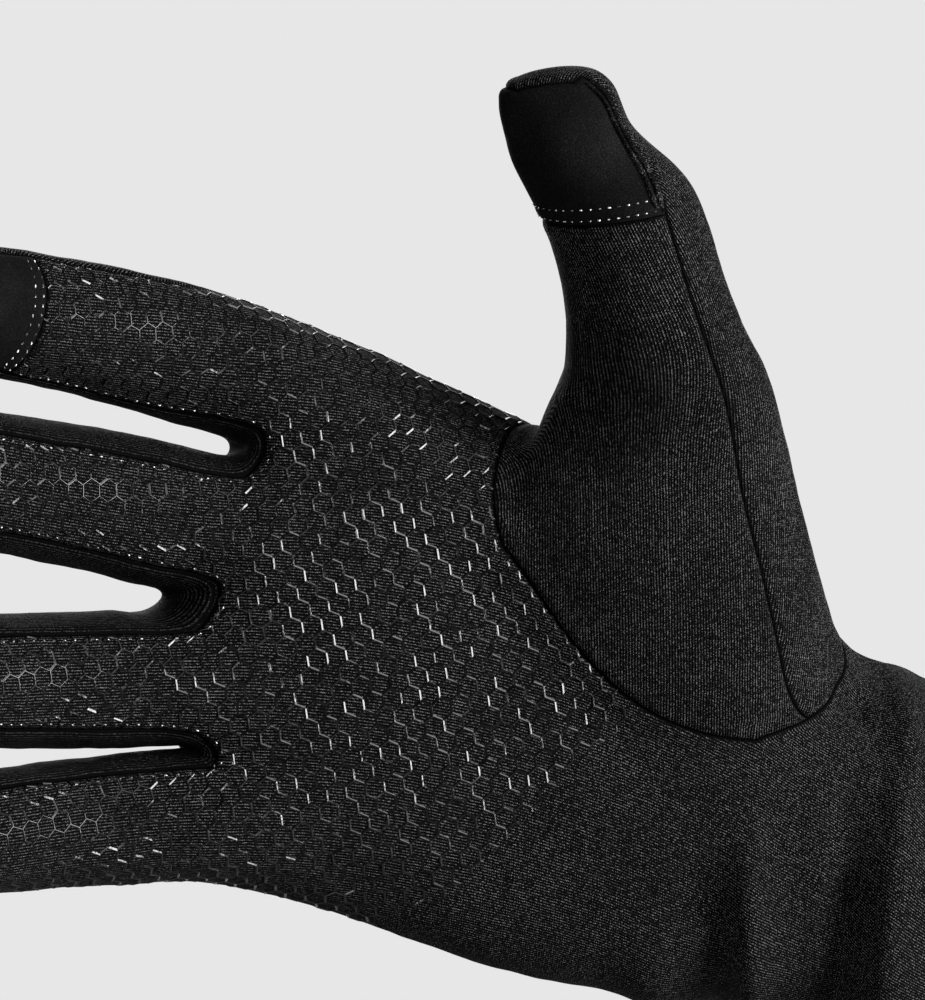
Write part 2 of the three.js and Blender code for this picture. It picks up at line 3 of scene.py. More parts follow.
import bpy
import numpy as np
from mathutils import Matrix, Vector, kdtree, noise
from mathutils.bvhtree import BVHTree


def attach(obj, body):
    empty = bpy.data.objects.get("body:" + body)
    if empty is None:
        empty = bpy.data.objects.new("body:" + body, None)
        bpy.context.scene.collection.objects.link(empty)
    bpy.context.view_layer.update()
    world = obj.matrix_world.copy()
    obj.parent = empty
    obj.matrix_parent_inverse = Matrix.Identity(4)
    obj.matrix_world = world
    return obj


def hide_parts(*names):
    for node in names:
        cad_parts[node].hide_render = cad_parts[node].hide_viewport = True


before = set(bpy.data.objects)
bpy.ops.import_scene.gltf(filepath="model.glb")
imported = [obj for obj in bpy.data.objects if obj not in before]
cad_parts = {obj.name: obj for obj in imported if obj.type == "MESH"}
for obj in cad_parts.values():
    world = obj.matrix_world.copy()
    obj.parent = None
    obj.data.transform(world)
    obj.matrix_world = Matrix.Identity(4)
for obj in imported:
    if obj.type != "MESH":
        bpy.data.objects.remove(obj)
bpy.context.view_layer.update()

# A right-hand stretch sports glove in its worn pose. Lengths are in millimetres until a mesh is made.
PALM_BREADTH = 92
PALM_LENGTH = 96
PALM_THICKNESS = 29
FINGER_LENGTH = 80
FINGER_WIDTH = 20
FINGER_DEPTH = 18.5
THUMB_LENGTH = 80
THUMB_WIDTH = 27
THUMB_DEPTH = 21
CUFF_LENGTH = 48
CUFF_WIDTH = 62
CUFF_DEPTH = 44
FOLD_DEPTH = 3
WALL = 1.2
SEAM_GAP = 0.12
HAND_TURN = 18
RING_8_KEEPS = 0.902
RING_12_KEEPS = 0.955
PALM_SWELL = 1.03
SECTION_POWER = 3
PALM_COLUMNS = 12
ROOT_DEPTH = 0.4
ROOT_SIDE = 0.78
ROOT_WEB = 1.02
ROOT_SIDE_LIFT = 0.8
ROOT_MIDDLE_LIFT = 1.06
FIRST_JOINT = 0.36
SECOND_JOINT = 0.68
JOINT_REACH = 0.07
FINGER_CAP = 0.02
FINGER_TIP_RING = 5
FINGER_PATCH_RING = 4
CUFF_LEAN = 22
WRIST_ALONG = 0.93
WRIST_ACROSS = -0.4
THUMB_PATCH_RING = 4
THUMB_TURN_RING = 6.4
THUMB_PATCH_START = 6
THUMB_CORNERS = 12
THUMB_FRONT_CORNERS = 7
THUMB_CAP = 0.015
THUMB_CAP_LEAN = 0.2
THUMB_CAP_INSET = 0.36
THUMB_MIDDLE_CORNER = 4
BALL_SHARE = 0.5
BALL_SWELL = 0.24
FRAME_STEPS = 100

TURN = math.radians(HAND_TURN)
TURN_SLOPE = math.tan(TURN)


def point(x, y, z):
    return np.array([x, y, z], float)


def unit(v):
    return v / max(np.linalg.norm(v), 1e-12)


def mix(a, b, t):
    return a + (b - a) * t


def smooth(x, low, high):
    t = np.clip((x - low) / (high - low), 0, 1)
    return t * t * (3 - 2 * t)


PALM_NORMAL = point(math.sin(TURN), -math.cos(TURN), 0)
ALONG = point(math.cos(TURN), math.sin(TURN), 0)


def on_palm(along, across):
    x = along * PALM_LENGTH
    return point(x, x * TURN_SLOPE, across * PALM_BREADTH)


# name, along, across, half, length, width, depth, lean, sway, bends, roll
FINGERS = [
    ("index", 0.045, 0.378, 1.14, 0.89, 1.03, 1.02, 18.5, 3, (31, 46, 54), -26),
    ("middle", -0.02, 0.118, 1.1, 1.0, 1.06, 1.04, 15, 5, (33, 47, 54), 0),
    ("ring", -0.085, -0.143, 1.08, 0.93, 1.01, 1.0, 1, 1, (33, 46, 53), 0),
    ("little", -0.05, -0.37, 1.1, 0.76, 0.96, 0.94, -3, -4, (31, 44, 52), 4),
]
WEBS = [
    ("fourchette_index_middle", 0.035),
    ("fourchette_middle_ring", -0.06),
    ("fourchette_ring_little", 0.03),
]
# at, width, depth
FINGER_RINGS = [
    (0.13, 1.08, 1.08),
    (0.29, 1.04, 1.02),
    (0.46, 1.01, 0.98),
    (0.69, 0.975, 0.94),
    (0.79, 0.94, 0.87),
    (0.91, 0.82, 0.74),
    (0.98, 0.54, 0.48),
]
# side along, side, bend along, bend, far along, far, thick
PALM_ROWS = [
    (0.27, 0.427, 0.18, 0.235, 0.1, -0.527, 0.9),
    (0.53, 0.32, 0.425, 0.07, 0.3, -0.607, 1.0),
    (0.69, 0.15, 0.505, -0.092, 0.47, -0.672, 1.06),
    (0.86, 0.02, 0.64, -0.239, 0.64, -0.705, 1.13),
    (1.02, -0.08, 0.844, -0.293, 0.79, -0.735, 1.25),
]
# along, width, depth
CUFF_ROWS = [(0.16, 1.0, 0.98), (0.45, 1.0, 1.0), (0.8, 1.0, 1.02), (1.0, 1.0, 1.03)]
THUMB_SIDE_COLUMNS = [0.17, 0.55, 1.0]
FAR_SIDE_COLUMNS = [0.12, 0.23, 0.34, 0.44, 0.54, 0.64, 0.74, 0.85, 0.955]
BACK_COLUMNS = [0.04, 0.134, 0.228, 0.314, 0.398, 0.482, 0.553, 0.637, 0.72, 0.793, 0.879, 0.96]
# along, across, forward
THUMB_SEAM = [
    (0.562, 0.285, -0.05),
    (0.475, 0.255, 0.3),
    (0.432, 0.179, 0.5),
    (0.425, 0.07, 0.58),
    (0.505, -0.092, 0.6),
    (0.64, -0.239, 0.62),
    (0.8, -0.288, 0.64),
    (0.885, -0.285, 0.63),
    (1.005, -0.2, 0.5),
    (1.035, -0.07, 0.05),
    (0.87, 0.04, -0.25),
    (0.7, 0.17, -0.25),
]
# right, up, back, width, depth, tilt, pitch, angle of the side seam
THUMB_RINGS = [
    (0.889, 0.33, 0.38, 1.46, 1.44, 12, 26, 117),
    (0.889, 0.425, 0.255, 1.27, 1.29, 4, 18, 117),
    (0.857, 0.52, 0.11, 1.05, 1.14, -6, 14, 117),
    (0.831, 0.63, 0.0, 0.92, 1.05, -8, 12, 117),
    (0.783, 0.778, -0.165, 0.965, 1.03, -7, 18, 118),
    (0.741, 0.83, -0.23, 0.87, 1.0, -12, 12, 131),
    (0.676, 0.897, -0.32, 0.69, 0.88, -14, 12, 152),
    (0.663, 0.97, -0.4, 0.71, 0.72, -12, 14, 146),
    (0.641, 1.015, -0.45, 0.57, 0.5, -10, 14, 133),
]
THUMB_ANGLES = [-35, 0, 25, 50, 72, 91, 106, 117, 152, 190, 235, 280]
THUMB_TIP_ANGLES = [-28, 2, 30, 58, 84, 110, 135, 158, 184, 214, 246, 284]

# Main folds of the heel and cuff: from along, across, to along, across, reach as a share of the palm's
# thickness, rise as a share of the fold depth
FOLDS = [
    (0.785, -0.47, 0.815, -0.8, 0.13, -0.5),
    (0.7, -0.6, 0.73, -0.84, 0.16, 0.45),
    (0.87, -0.46, 0.89, -0.86, 0.12, 0.7),
    (1.03, -0.4, 1.005, -0.86, 0.13, -0.75),
    (1.14, -0.28, 1.1, -0.8, 0.16, 0.85),
    (0.95, -0.34, 0.96, -0.62, 0.11, -0.35),
    (1.03, -0.14, 1.12, -0.3, 0.09, -0.5),
    (1.26, -0.4, 1.3, -0.9, 0.14, -0.7),
]

# The flat pattern: lengths along the hand and across it, with the cloth's wrap at the sides
WRAP = 0.8
RIB_TURN_FROM = -20
RIB_TURN_OVER = 120
RIB_TURN = math.tan(math.radians(28))
FINGER_STEP = 7.8
WEB_WIDTH = 6

corners = []
hand_place = {}
faces = []


def add_corner(p):
    corners.append(np.array(p, float))
    return len(corners) - 1


def add_face(panel, ring, flat):
    faces.append((panel, list(ring), flat))


def hand_flat(k):
    """The pattern's length and breadth at a corner of the palm or the back."""
    share, half = hand_place[k]
    p = corners[k]
    side = 1 - 2 * share
    wrap = side * WRAP * (half - abs(p @ PALM_NORMAL))
    return (p @ ALONG, p[2] + wrap)


def section_height(share):
    return math.sqrt(max(0, 1 - abs(2 * share - 1) ** SECTION_POWER))


def turn_about(v, axis, angle):
    c, s = math.cos(angle), math.sin(angle)
    return v * c + np.cross(axis, v) * s + axis * (axis @ v) * (1 - c)


def finger_frames(finger):
    _, along0, across0, _, length, _, _, lean, sway, bends, roll = finger
    middle = on_palm(along0, across0)
    frames = []
    for i in range(FRAME_STEPS + 1):
        at = i / FRAME_STEPS
        first = (bends[1] - bends[0]) * smooth(at, FIRST_JOINT - JOINT_REACH, FIRST_JOINT + JOINT_REACH)
        second = (bends[2] - bends[1]) * smooth(at, SECOND_JOINT - JOINT_REACH, SECOND_JOINT + JOINT_REACH)
        forward = math.radians(bends[0] + first + second)
        tilt = math.radians(lean + (sway - lean) * at)
        level = math.cos(forward)
        along = point(-level * math.cos(tilt), -math.sin(forward), level * math.sin(tilt))
        across = turn_about(
            point(-math.sin(tilt), 0, -math.cos(tilt)), along, math.radians(roll) * smooth(at, 0, FIRST_JOINT)
        )
        frames.append((middle, along, across, np.cross(along, across)))
        middle = middle + along * length * FINGER_LENGTH / FRAME_STEPS
    return frames


# Roots of the fingers
roots = []
for finger in FINGERS:
    root = on_palm(finger[1], finger[2])
    lean = math.radians(finger[7]) / 2
    across = point(-math.sin(lean), 0, -math.cos(lean))
    across[1] = across[0] * TURN_SLOPE
    half = finger[3] * FINGER_WIDTH / 2
    lift = ROOT_DEPTH * PALM_THICKNESS / RING_8_KEEPS

    def at_root(share, depth):
        return add_corner(root + across * share * half + PALM_NORMAL * depth * lift)

    def root_side(sign):
        """The three corners on the palm side, sign 1, or on the back, sign -1."""
        places = ((-ROOT_SIDE, ROOT_SIDE_LIFT), (0, ROOT_MIDDLE_LIFT), (ROOT_SIDE, ROOT_SIDE_LIFT))
        return [at_root(share * sign, depth * sign) for share, depth in places]

    roots.append(
        {
            "palm": root_side(1),
            "back": root_side(-1),
            "near": at_root(-ROOT_WEB, 0),
            "far": at_root(ROOT_WEB, 0),
            "flat": (root @ ALONG, root[2]),
        }
    )
for i, (_, set_back) in enumerate(WEBS):
    corners[roots[i]["far"]][0] += set_back * PALM_LENGTH
    corners[roots[i + 1]["near"]][0] += set_back * PALM_LENGTH

# Rows of the palm and the cuff
rows = [
    {
        "palm": [k for r in roots for k in r["palm"]],
        "far": roots[3]["far"],
        "back": [k for r in roots for k in r["back"][::-1]],
        "near": roots[0]["near"],
        "half": ROOT_MIDDLE_LIFT * ROOT_DEPTH * PALM_THICKNESS / RING_8_KEEPS,
    }
]
for side_along, side_x, bend_along, bend_x, far_along, far_x, thick in PALM_ROWS:
    side, bend, far = on_palm(side_along, side_x), on_palm(bend_along, bend_x), on_palm(far_along, far_x)
    half = thick * PALM_THICKNESS * PALM_SWELL / 2
    width = np.linalg.norm(far - side)
    front = [mix(side, bend, s) for s in THUMB_SIDE_COLUMNS] + [mix(bend, far, s) for s in FAR_SIDE_COLUMNS]
    palm = []
    for p in front:
        share = min(1, np.linalg.norm(p - side) / width)
        palm.append(add_corner(p + PALM_NORMAL * half * section_height(share)))
    back = [mix(side, far, s) - PALM_NORMAL * half * section_height(s) for s in BACK_COLUMNS]
    rows.append(
        {
            "palm": palm,
            "far": add_corner(far),
            "back": [add_corner(p) for p in back],
            "near": add_corner(side),
            "half": half,
        }
    )

cuff_lean = math.radians(CUFF_LEAN)
wrist = on_palm(WRIST_ALONG, WRIST_ACROSS)
cuff_across = unit(point(-math.sin(cuff_lean), -math.sin(cuff_lean) * TURN_SLOPE, -math.cos(cuff_lean)))
cuff_along = unit(np.cross(PALM_NORMAL, cuff_across))
for along, width, depth in CUFF_ROWS:
    middle = wrist + cuff_along * along * CUFF_LENGTH

    def at_cuff(share, sign):
        turn = math.pi * share
        wide = -math.cos(turn) * width * CUFF_WIDTH / 2
        deep = math.sin(turn) * depth * CUFF_DEPTH / 2 * sign
        return add_corner(middle + cuff_across * wide + PALM_NORMAL * deep)

    shares = [(i + 1) / (PALM_COLUMNS + 1) for i in range(PALM_COLUMNS)]
    rows.append(
        {
            "palm": [at_cuff(s, 1) for s in shares],
            "far": at_cuff(1, 1),
            "back": [at_cuff(s, -1) for s in shares],
            "near": at_cuff(0, 1),
            "half": depth * CUFF_DEPTH / 2,
        }
    )

# The thumb's base loop
LOOP_SLOTS = [(2, "near"), (2, 0), (2, 1), (2, 2), (3, 2), (4, 2)]
LOOP_SLOTS += [(5, 2), (5, 1), (5, 0), (5, "near"), (4, "near"), (3, "near")]
loop = []
for (row, slot), (along, across, forward) in zip(LOOP_SLOTS, THUMB_SEAM):
    k = rows[row]["near"] if slot == "near" else rows[row]["palm"][slot]
    corners[k][:] = on_palm(along, across) + PALM_NORMAL * forward * PALM_THICKNESS
    loop.append(k)
for row in rows:
    for name in ("palm", "back"):
        line = [row["near"], *row[name], row["far"]]
        for c, k in enumerate(line):
            hand_place[k] = (c / (len(line) - 1), row["half"])

for i, row in enumerate(rows[1:]):
    ahead = rows[i]
    front, front_next = ([r["near"], *r["palm"], r["far"]] for r in (ahead, row))
    back, back_next = ([r["near"], *r["back"], r["far"]] for r in (ahead, row))
    hem = i == len(rows) - 2
    beside_thumb = LOOP_SLOTS[0][0] <= i < LOOP_SLOTS[6][0]
    for c in range(len(front) - 1):
        if not (beside_thumb and c < len(THUMB_SIDE_COLUMNS)):
            ring = [front[c], front[c + 1], front_next[c + 1], front_next[c]]
            add_face("cuff_hem" if hem else "palm_panel", ring, [hand_flat(k) for k in ring])
        ring = [back[c + 1], back[c], back_next[c], back_next[c + 1]]
        add_face("cuff_hem" if hem else "back_panel", ring, [hand_flat(k) for k in ring])

# Webs and fingers
for i, (name, _) in enumerate(WEBS):
    a, b = roots[i], roots[i + 1]
    s, w = FINGER_STEP, WEB_WIDTH
    add_face(name, [a["palm"][2], a["far"], b["near"], b["palm"][0]], [(0, s), (0, 0), (w, 0), (w, s)])
    add_face(name, [a["far"], a["back"][0], b["back"][2], b["near"]], [(0, 0), (0, -s), (w, -s), (w, 0)])

FINGER_ANGLES = [-45, 0, 45, 90, 135, 180, 225, 270]
for i, finger in enumerate(FINGERS):
    frames = finger_frames(finger)
    root = roots[i]
    last = [*root["palm"], root["far"], *root["back"], root["near"]]
    last_dist = 0
    u0, v0 = root["flat"]
    far_sides = [WEBS[i][0]] * 2 if i < 3 else ["palm_panel", "back_panel"]

    def finger_flat(panel, k, face, dist):
        if panel.startswith("fourchette"):
            if face in (2, 3):
                return (-dist, (3 - k) * FINGER_STEP)
            return (WEB_WIDTH + dist, ((k if k else 8) - 7) * FINGER_STEP)
        if dist == 0:
            return hand_flat(last[k])
        if panel == "back_panel":
            return (u0 - dist, v0 + (k - 5) * FINGER_STEP)
        return (u0 - dist, v0 - ((k if k < 7 else -1) - 1) * FINGER_STEP)

    for r, (at, width, depth) in enumerate(FINGER_RINGS):
        middle, along, across, palm_side = frames[round(at * FRAME_STEPS)]
        half_width = width * finger[5] * FINGER_WIDTH / 2 / RING_8_KEEPS
        half_depth = depth * finger[6] * FINGER_DEPTH / 2 / RING_8_KEEPS
        ring = [
            add_corner(
                middle
                + across * math.sin(math.radians(a)) * half_width
                + palm_side * math.cos(math.radians(a)) * half_depth
            )
            for a in FINGER_ANGLES
        ]
        front = "index_touch_patch" if i == 0 and r >= FINGER_PATCH_RING else "palm_panel"
        back = "back_panel"
        near_sides = [WEBS[i - 1][0]] * 2 if i > 0 else [back, front]
        if r >= FINGER_TIP_RING:
            panels = [front, front, front, back, back, back, back, front]
        else:
            panels = [front, front, *far_sides, back, back, *near_sides]
        dist = at * finger[4] * FINGER_LENGTH
        for k in range(8):
            n = (k + 1) % 8
            name = panels[k]
            flat = [
                finger_flat(name, k, k, last_dist),
                finger_flat(name, k, k, dist),
                finger_flat(name, n, k, dist),
                finger_flat(name, n, k, last_dist),
            ]
            add_face(name, [last[k], ring[k], ring[n], last[n]], flat)
        last, last_dist = ring, dist
    middle, along, _, _ = frames[FRAME_STEPS]
    cap = add_corner(middle + along * FINGER_CAP * finger[4] * FINGER_LENGTH)
    tip = finger[4] * FINGER_LENGTH * (1 + FINGER_CAP)
    front = "index_touch_patch" if i == 0 else "palm_panel"
    for name, ks in ((front, (7, 1, 0)), (front, (1, 3, 2)), ("back_panel", (3, 5, 4)), ("back_panel", (5, 7, 6))):
        a, b, c = ks
        flat = [finger_flat(name, k, -1, last_dist) for k in ks]
        add_face(name, [last[a], cap, last[b], last[c]], [flat[0], (u0 - tip, v0), *flat[1:]])

# The thumb
thumb_rings = []
for r, (right, up, back, width, depth, tilt, pitch, seam) in enumerate(THUMB_RINGS):
    middle = point(right * THUMB_LENGTH, back * THUMB_DEPTH, up * THUMB_LENGTH)
    half_width = width * THUMB_WIDTH / 2 / RING_12_KEEPS
    half_depth = depth * THUMB_DEPTH / 2 / RING_12_KEEPS
    rightward = point(math.cos(math.radians(tilt)), 0, -math.sin(math.radians(tilt)))
    backward = point(0, math.cos(math.radians(pitch)), math.sin(math.radians(pitch)))
    tip = smooth(r, THUMB_PATCH_RING, THUMB_TURN_RING)
    ring = []
    turns = [base + (end - base) * tip for base, end in zip(THUMB_ANGLES, THUMB_TIP_ANGLES)]
    spread = (seam - turns[0]) / (turns[THUMB_FRONT_CORNERS] - turns[0])
    for k, turn in enumerate(turns):
        angle = math.radians(turn if k > THUMB_FRONT_CORNERS else turns[0] + (turn - turns[0]) * spread)
        place = middle - rightward * math.cos(angle) * half_width - backward * math.sin(angle) * half_depth
        ring.append(add_corner(place))
    thumb_rings.append(ring)

first_ring = thumb_rings[0]
places = [mix(corners[k], corners[first_ring[i]], BALL_SHARE) for i, k in enumerate(loop)]
ball_middle = sum(places) / THUMB_CORNERS
ball = []
for angle, place in zip(THUMB_ANGLES, places):
    front = max(0, math.sin(math.radians(angle)))
    ball.append(add_corner(place + unit(place - ball_middle) * BALL_SWELL * THUMB_DEPTH * front**3))


def ring_arcs(ring):
    """Lengths round a ring of the thumb, counted from the middle of its front."""
    sums = [0]
    for k in range(THUMB_CORNERS):
        sums.append(sums[-1] + np.linalg.norm(corners[ring[(k + 1) % THUMB_CORNERS]] - corners[ring[k]]))
    return [s - sums[THUMB_MIDDLE_CORNER] for s in sums]


all_rings = [loop, ball, *thumb_rings]
arcs = [ring_arcs(ring) for ring in thumb_rings]
centre_x = corners[first_ring[THUMB_MIDDLE_CORNER]][0]
loop_v = arcs[0].copy()
for i, k in enumerate(loop[: THUMB_FRONT_CORNERS + 1]):
    loop_v[i] = corners[k][0] - centre_x
ball_v = [mix(a, b, 0.5) for a, b in zip(loop_v, arcs[0])]
ring_v = [loop_v, ball_v, *arcs]
heights = [[corners[k][2] for k in loop], [corners[k][2] for k in ball]]
centres = [np.mean([corners[k] for k in ring], axis=0) for ring in thumb_rings]
height = centres[0][2]
for r in range(len(thumb_rings)):
    if r:
        height += np.linalg.norm(centres[r] - centres[r - 1])
    heights.append([height] * THUMB_CORNERS)


def thumb_flat(r, k):
    return (heights[r][k % THUMB_CORNERS], ring_v[r][k])


for r in range(1, len(all_rings)):
    front = "thumb_touch_patch" if r > THUMB_PATCH_START else "thumb_front_panel"
    below, ring = all_rings[r - 1], all_rings[r]
    for k in range(THUMB_CORNERS):
        n = (k + 1) % THUMB_CORNERS
        name = front if k < THUMB_FRONT_CORNERS else "thumb_back_panel"
        flat = [thumb_flat(r - 1, k), thumb_flat(r - 1, k + 1), thumb_flat(r, k + 1), thumb_flat(r, k)]
        add_face(name, [below[k], below[n], ring[n], ring[k]], flat)

CAP_CORNERS = (0, 3, 6, 9)
CAP_LENGTH = 4
CAP_BACK_EXTRA = 1.5
CAP_NARROWS = 0.4
end = thumb_rings[-1]
end_middle = np.mean([corners[k] for k in end], axis=0)
end_rise = point(-THUMB_CAP_LEAN, -THUMB_CAP_LEAN, 1) * THUMB_CAP * THUMB_LENGTH
inner = [add_corner(mix(end_middle, corners[end[k]], THUMB_CAP_INSET) + end_rise) for k in CAP_CORNERS]
top = len(all_rings) - 1


def tip_flat(k):
    """The pattern's place at a corner of the thumb's rounded end."""
    if k in inner:
        j = inner.index(k)
        u, v = thumb_flat(top, CAP_CORNERS[j])
        return (u + CAP_LENGTH + (0 if j < 2 else CAP_BACK_EXTRA), v * CAP_NARROWS)
    return thumb_flat(top, end.index(k))


for ring in (
    [end[0], end[1], inner[0], end[11]],
    [end[1], end[2], inner[1], inner[0]],
    [end[2], end[3], end[4], inner[1]],
    [inner[1], end[4], end[5], inner[2]],
    [inner[2], end[5], end[6], end[7]],
    inner,
    [inner[3], inner[2], end[7], end[8]],
    [end[10], inner[3], end[8], end[9]],
    [end[11], inner[0], inner[3], end[10]],
):
    add_face("thumb_back_panel", ring, [tip_flat(k) for k in ring])

PANELS = sorted({f[0] for f in faces})
points = np.array(corners)
quads = np.array([f[1] for f in faces])
flats = np.array([f[2] for f in faces], float)
names = np.array([PANELS.index(f[0]) for f in faces])


def quarters(corner, ahead, middle, behind):
    """The four small faces of each face, from its corners, the middles of its sides and its own middle."""
    return np.stack([np.stack([corner[:, k], ahead[:, k], middle, behind[:, k]], 1) for k in range(4)], 1)


def split_flats(flats):
    ahead = (flats + np.roll(flats, -1, axis=1)) / 2
    return quarters(flats, ahead, flats.mean(1), np.roll(ahead, 1, axis=1)).reshape(-1, 4, 2)


def subdivide(points, quads, flats, names):
    """One round of smoothing that splits each face in four; the corners keep their numbers."""
    n = len(points)
    middles = points[quads].mean(1)
    a, b = quads, np.roll(quads, -1, axis=1)
    pairs = np.stack([np.minimum(a, b).ravel(), np.maximum(a, b).ravel()], 1)
    edges, inverse = np.unique(pairs, axis=0, return_inverse=True)
    inverse = inverse.reshape(-1, 4)
    count = np.bincount(inverse.ravel(), minlength=len(edges))
    face_sum = np.zeros((len(edges), 3))
    np.add.at(face_sum, inverse.ravel(), np.repeat(middles, 4, axis=0))
    ends = points[edges].sum(1)
    inside = count == 2
    edge_points = np.where(inside[:, None], (ends + face_sum) / 4, ends / 2)
    valence = np.bincount(quads.ravel(), minlength=n)
    spokes = np.zeros((n, 3))
    np.add.at(spokes, edges[:, 0], points[edges[:, 1]])
    np.add.at(spokes, edges[:, 1], points[edges[:, 0]])
    around = np.zeros((n, 3))
    np.add.at(around, quads.ravel(), np.repeat(middles, 4, axis=0))
    v = np.maximum(valence, 1)[:, None]
    moved = points * (v - 2) / v + spokes / v**2 + around / v**2
    rim = edges[~inside]
    if len(rim):
        beside = np.zeros((n, 3))
        np.add.at(beside, rim[:, 0], points[rim[:, 1]])
        np.add.at(beside, rim[:, 1], points[rim[:, 0]])
        on_rim = np.unique(rim)
        moved[on_rim] = points[on_rim] * 0.75 + beside[on_rim] * 0.125
    made = np.vstack([moved, middles, edge_points])
    ahead = n + len(quads) + inverse
    split = quarters(quads, ahead, n + np.arange(len(quads)), np.roll(ahead, 1, axis=1)).reshape(-1, 4)
    return made, split, split_flats(flats), np.repeat(names, 4)


LEVELS = 4
stages = []
for _ in range(LEVELS):
    points, quads, flats, names = subdivide(points, quads, flats, names)
    stages.append((quads, flats, names))


def outwards(points, quads):
    across = np.cross(points[quads[:, 2]] - points[quads[:, 0]], points[quads[:, 3]] - points[quads[:, 1]])
    sums = np.zeros_like(points)
    np.add.at(sums, quads.ravel(), np.repeat(across, 4, axis=0))
    return sums / np.maximum(np.linalg.norm(sums, axis=1), 1e-12)[:, None]


def open_sides(quads):
    """The sides that only one face has, each as its two points in the face's turning sense."""
    a, b = quads.ravel().tolist(), np.roll(quads, -1, axis=1).ravel().tolist()
    sides = set(zip(a, b))
    return [(s, t) for s, t in zip(a, b) if (t, s) not in sides]


def palm_facing(normals):
    """How far each point faces the palm side: folds and creases fade towards the back."""
    return smooth(FACING_EDGE - normals[:, 1], 0, FACING_BLEND)


FACING_EDGE = 0.3
FACING_BLEND = 0.5
# A fold grows between these shares of its line and fades between those
FOLD_GROWS = (-0.35, 0.35)
FOLD_FADES = (0.9, 1.5)


def fold_rise(p, a, b, reach, rise):
    """Rise of one fold at the points p, seen from the palm: a line from a to b."""
    run = np.array([b[0] - a[0], b[2] - a[2]])
    away = p[:, [0, 2]] - np.array([a[0], a[2]])
    share = away @ run / (run @ run)
    off = np.linalg.norm(away - share[:, None] * run, axis=1) / reach
    grown = smooth(share, *FOLD_GROWS) * (1 - smooth(share, *FOLD_FADES))
    return rise * grown * np.exp(-off * off)


normals = outwards(points, quads)
rise = np.zeros(len(points))
for along1, across1, along2, across2, reach, height in FOLDS:
    rise += fold_rise(
        points, on_palm(along1, across1), on_palm(along2, across2), reach * PALM_THICKNESS, height * FOLD_DEPTH
    )
points = points + normals * (rise * palm_facing(normals))[:, None]

# Finer creases: from x, z, to x, z in millimetres seen from the palm, reach, rise
CREASES = [
    (75.6, -49, 75.4, -66, 2.3, 0.75),
    (79.2, -52, 80, -64, 1.2, -0.8),
    (83.2, -38, 83.6, -62, 1.8, 0.8),
    (88.2, -35, 88.6, -54, 2.0, -0.45),
    (96.0, -40, 94.3, -60, 2.2, 0.5),
    (100.4, -42, 98.2, -64, 1.3, -0.9),
    (108, -34, 105, -62, 2.2, 0.6),
    (110, -14, 108, -34, 2.0, 0.5),
    (113.5, -12, 113, -30, 1.6, -0.5),
    (103, -8, 108, -20, 1.8, -0.55),
    (99, -12, 106, -26, 1.6, 0.45),
    (57, 32, 66, 30, 2.0, -0.35),
    (57, 36, 64, 37, 1.6, 0.25),
    (58, 40, 66, 42, 1.8, -0.25),
]
# The cloth's slow unevenness all over: height in millimetres, and how fine
UNEVENNESS = ((0.28, 0.11), (0.1, 0.33))
normals = outwards(points, quads)
rise = np.zeros(len(points))
for x1, z1, x2, z2, reach, height in CREASES:
    rise += fold_rise(points, (x1, 0, z1), (x2, 0, z2), reach, height)
rise *= palm_facing(normals)
for k, p in enumerate(points):
    for height, fineness in UNEVENNESS:
        rise[k] += height * noise.noise(Vector(p * fineness))
points = points + normals * rise[:, None]
normals = outwards(points, quads)
origin = wrist + cuff_along * CUFF_LENGTH


# Cloth keeps its rib spacing: the flat pattern of the palm, back and thumb panels is eased to the lengths of the
# surface
HAND_PANELS = ("palm_panel", "back_panel", "cuff_hem")
# Slope of the ribs at the thumb's base, where they turn along its length, over how much, and by what slope
THUMB_RIBS = {"thumb_front_panel": (0.56, 24, 24, -0.95), "thumb_back_panel": (-0.12, 14, 46, 0.75)}
EASED_STAGE = 1
EASE_ROUNDS = 60
EASE_STEPS = 12
EASE_HOLD = 1e-4
BACK_RELAXED = 60


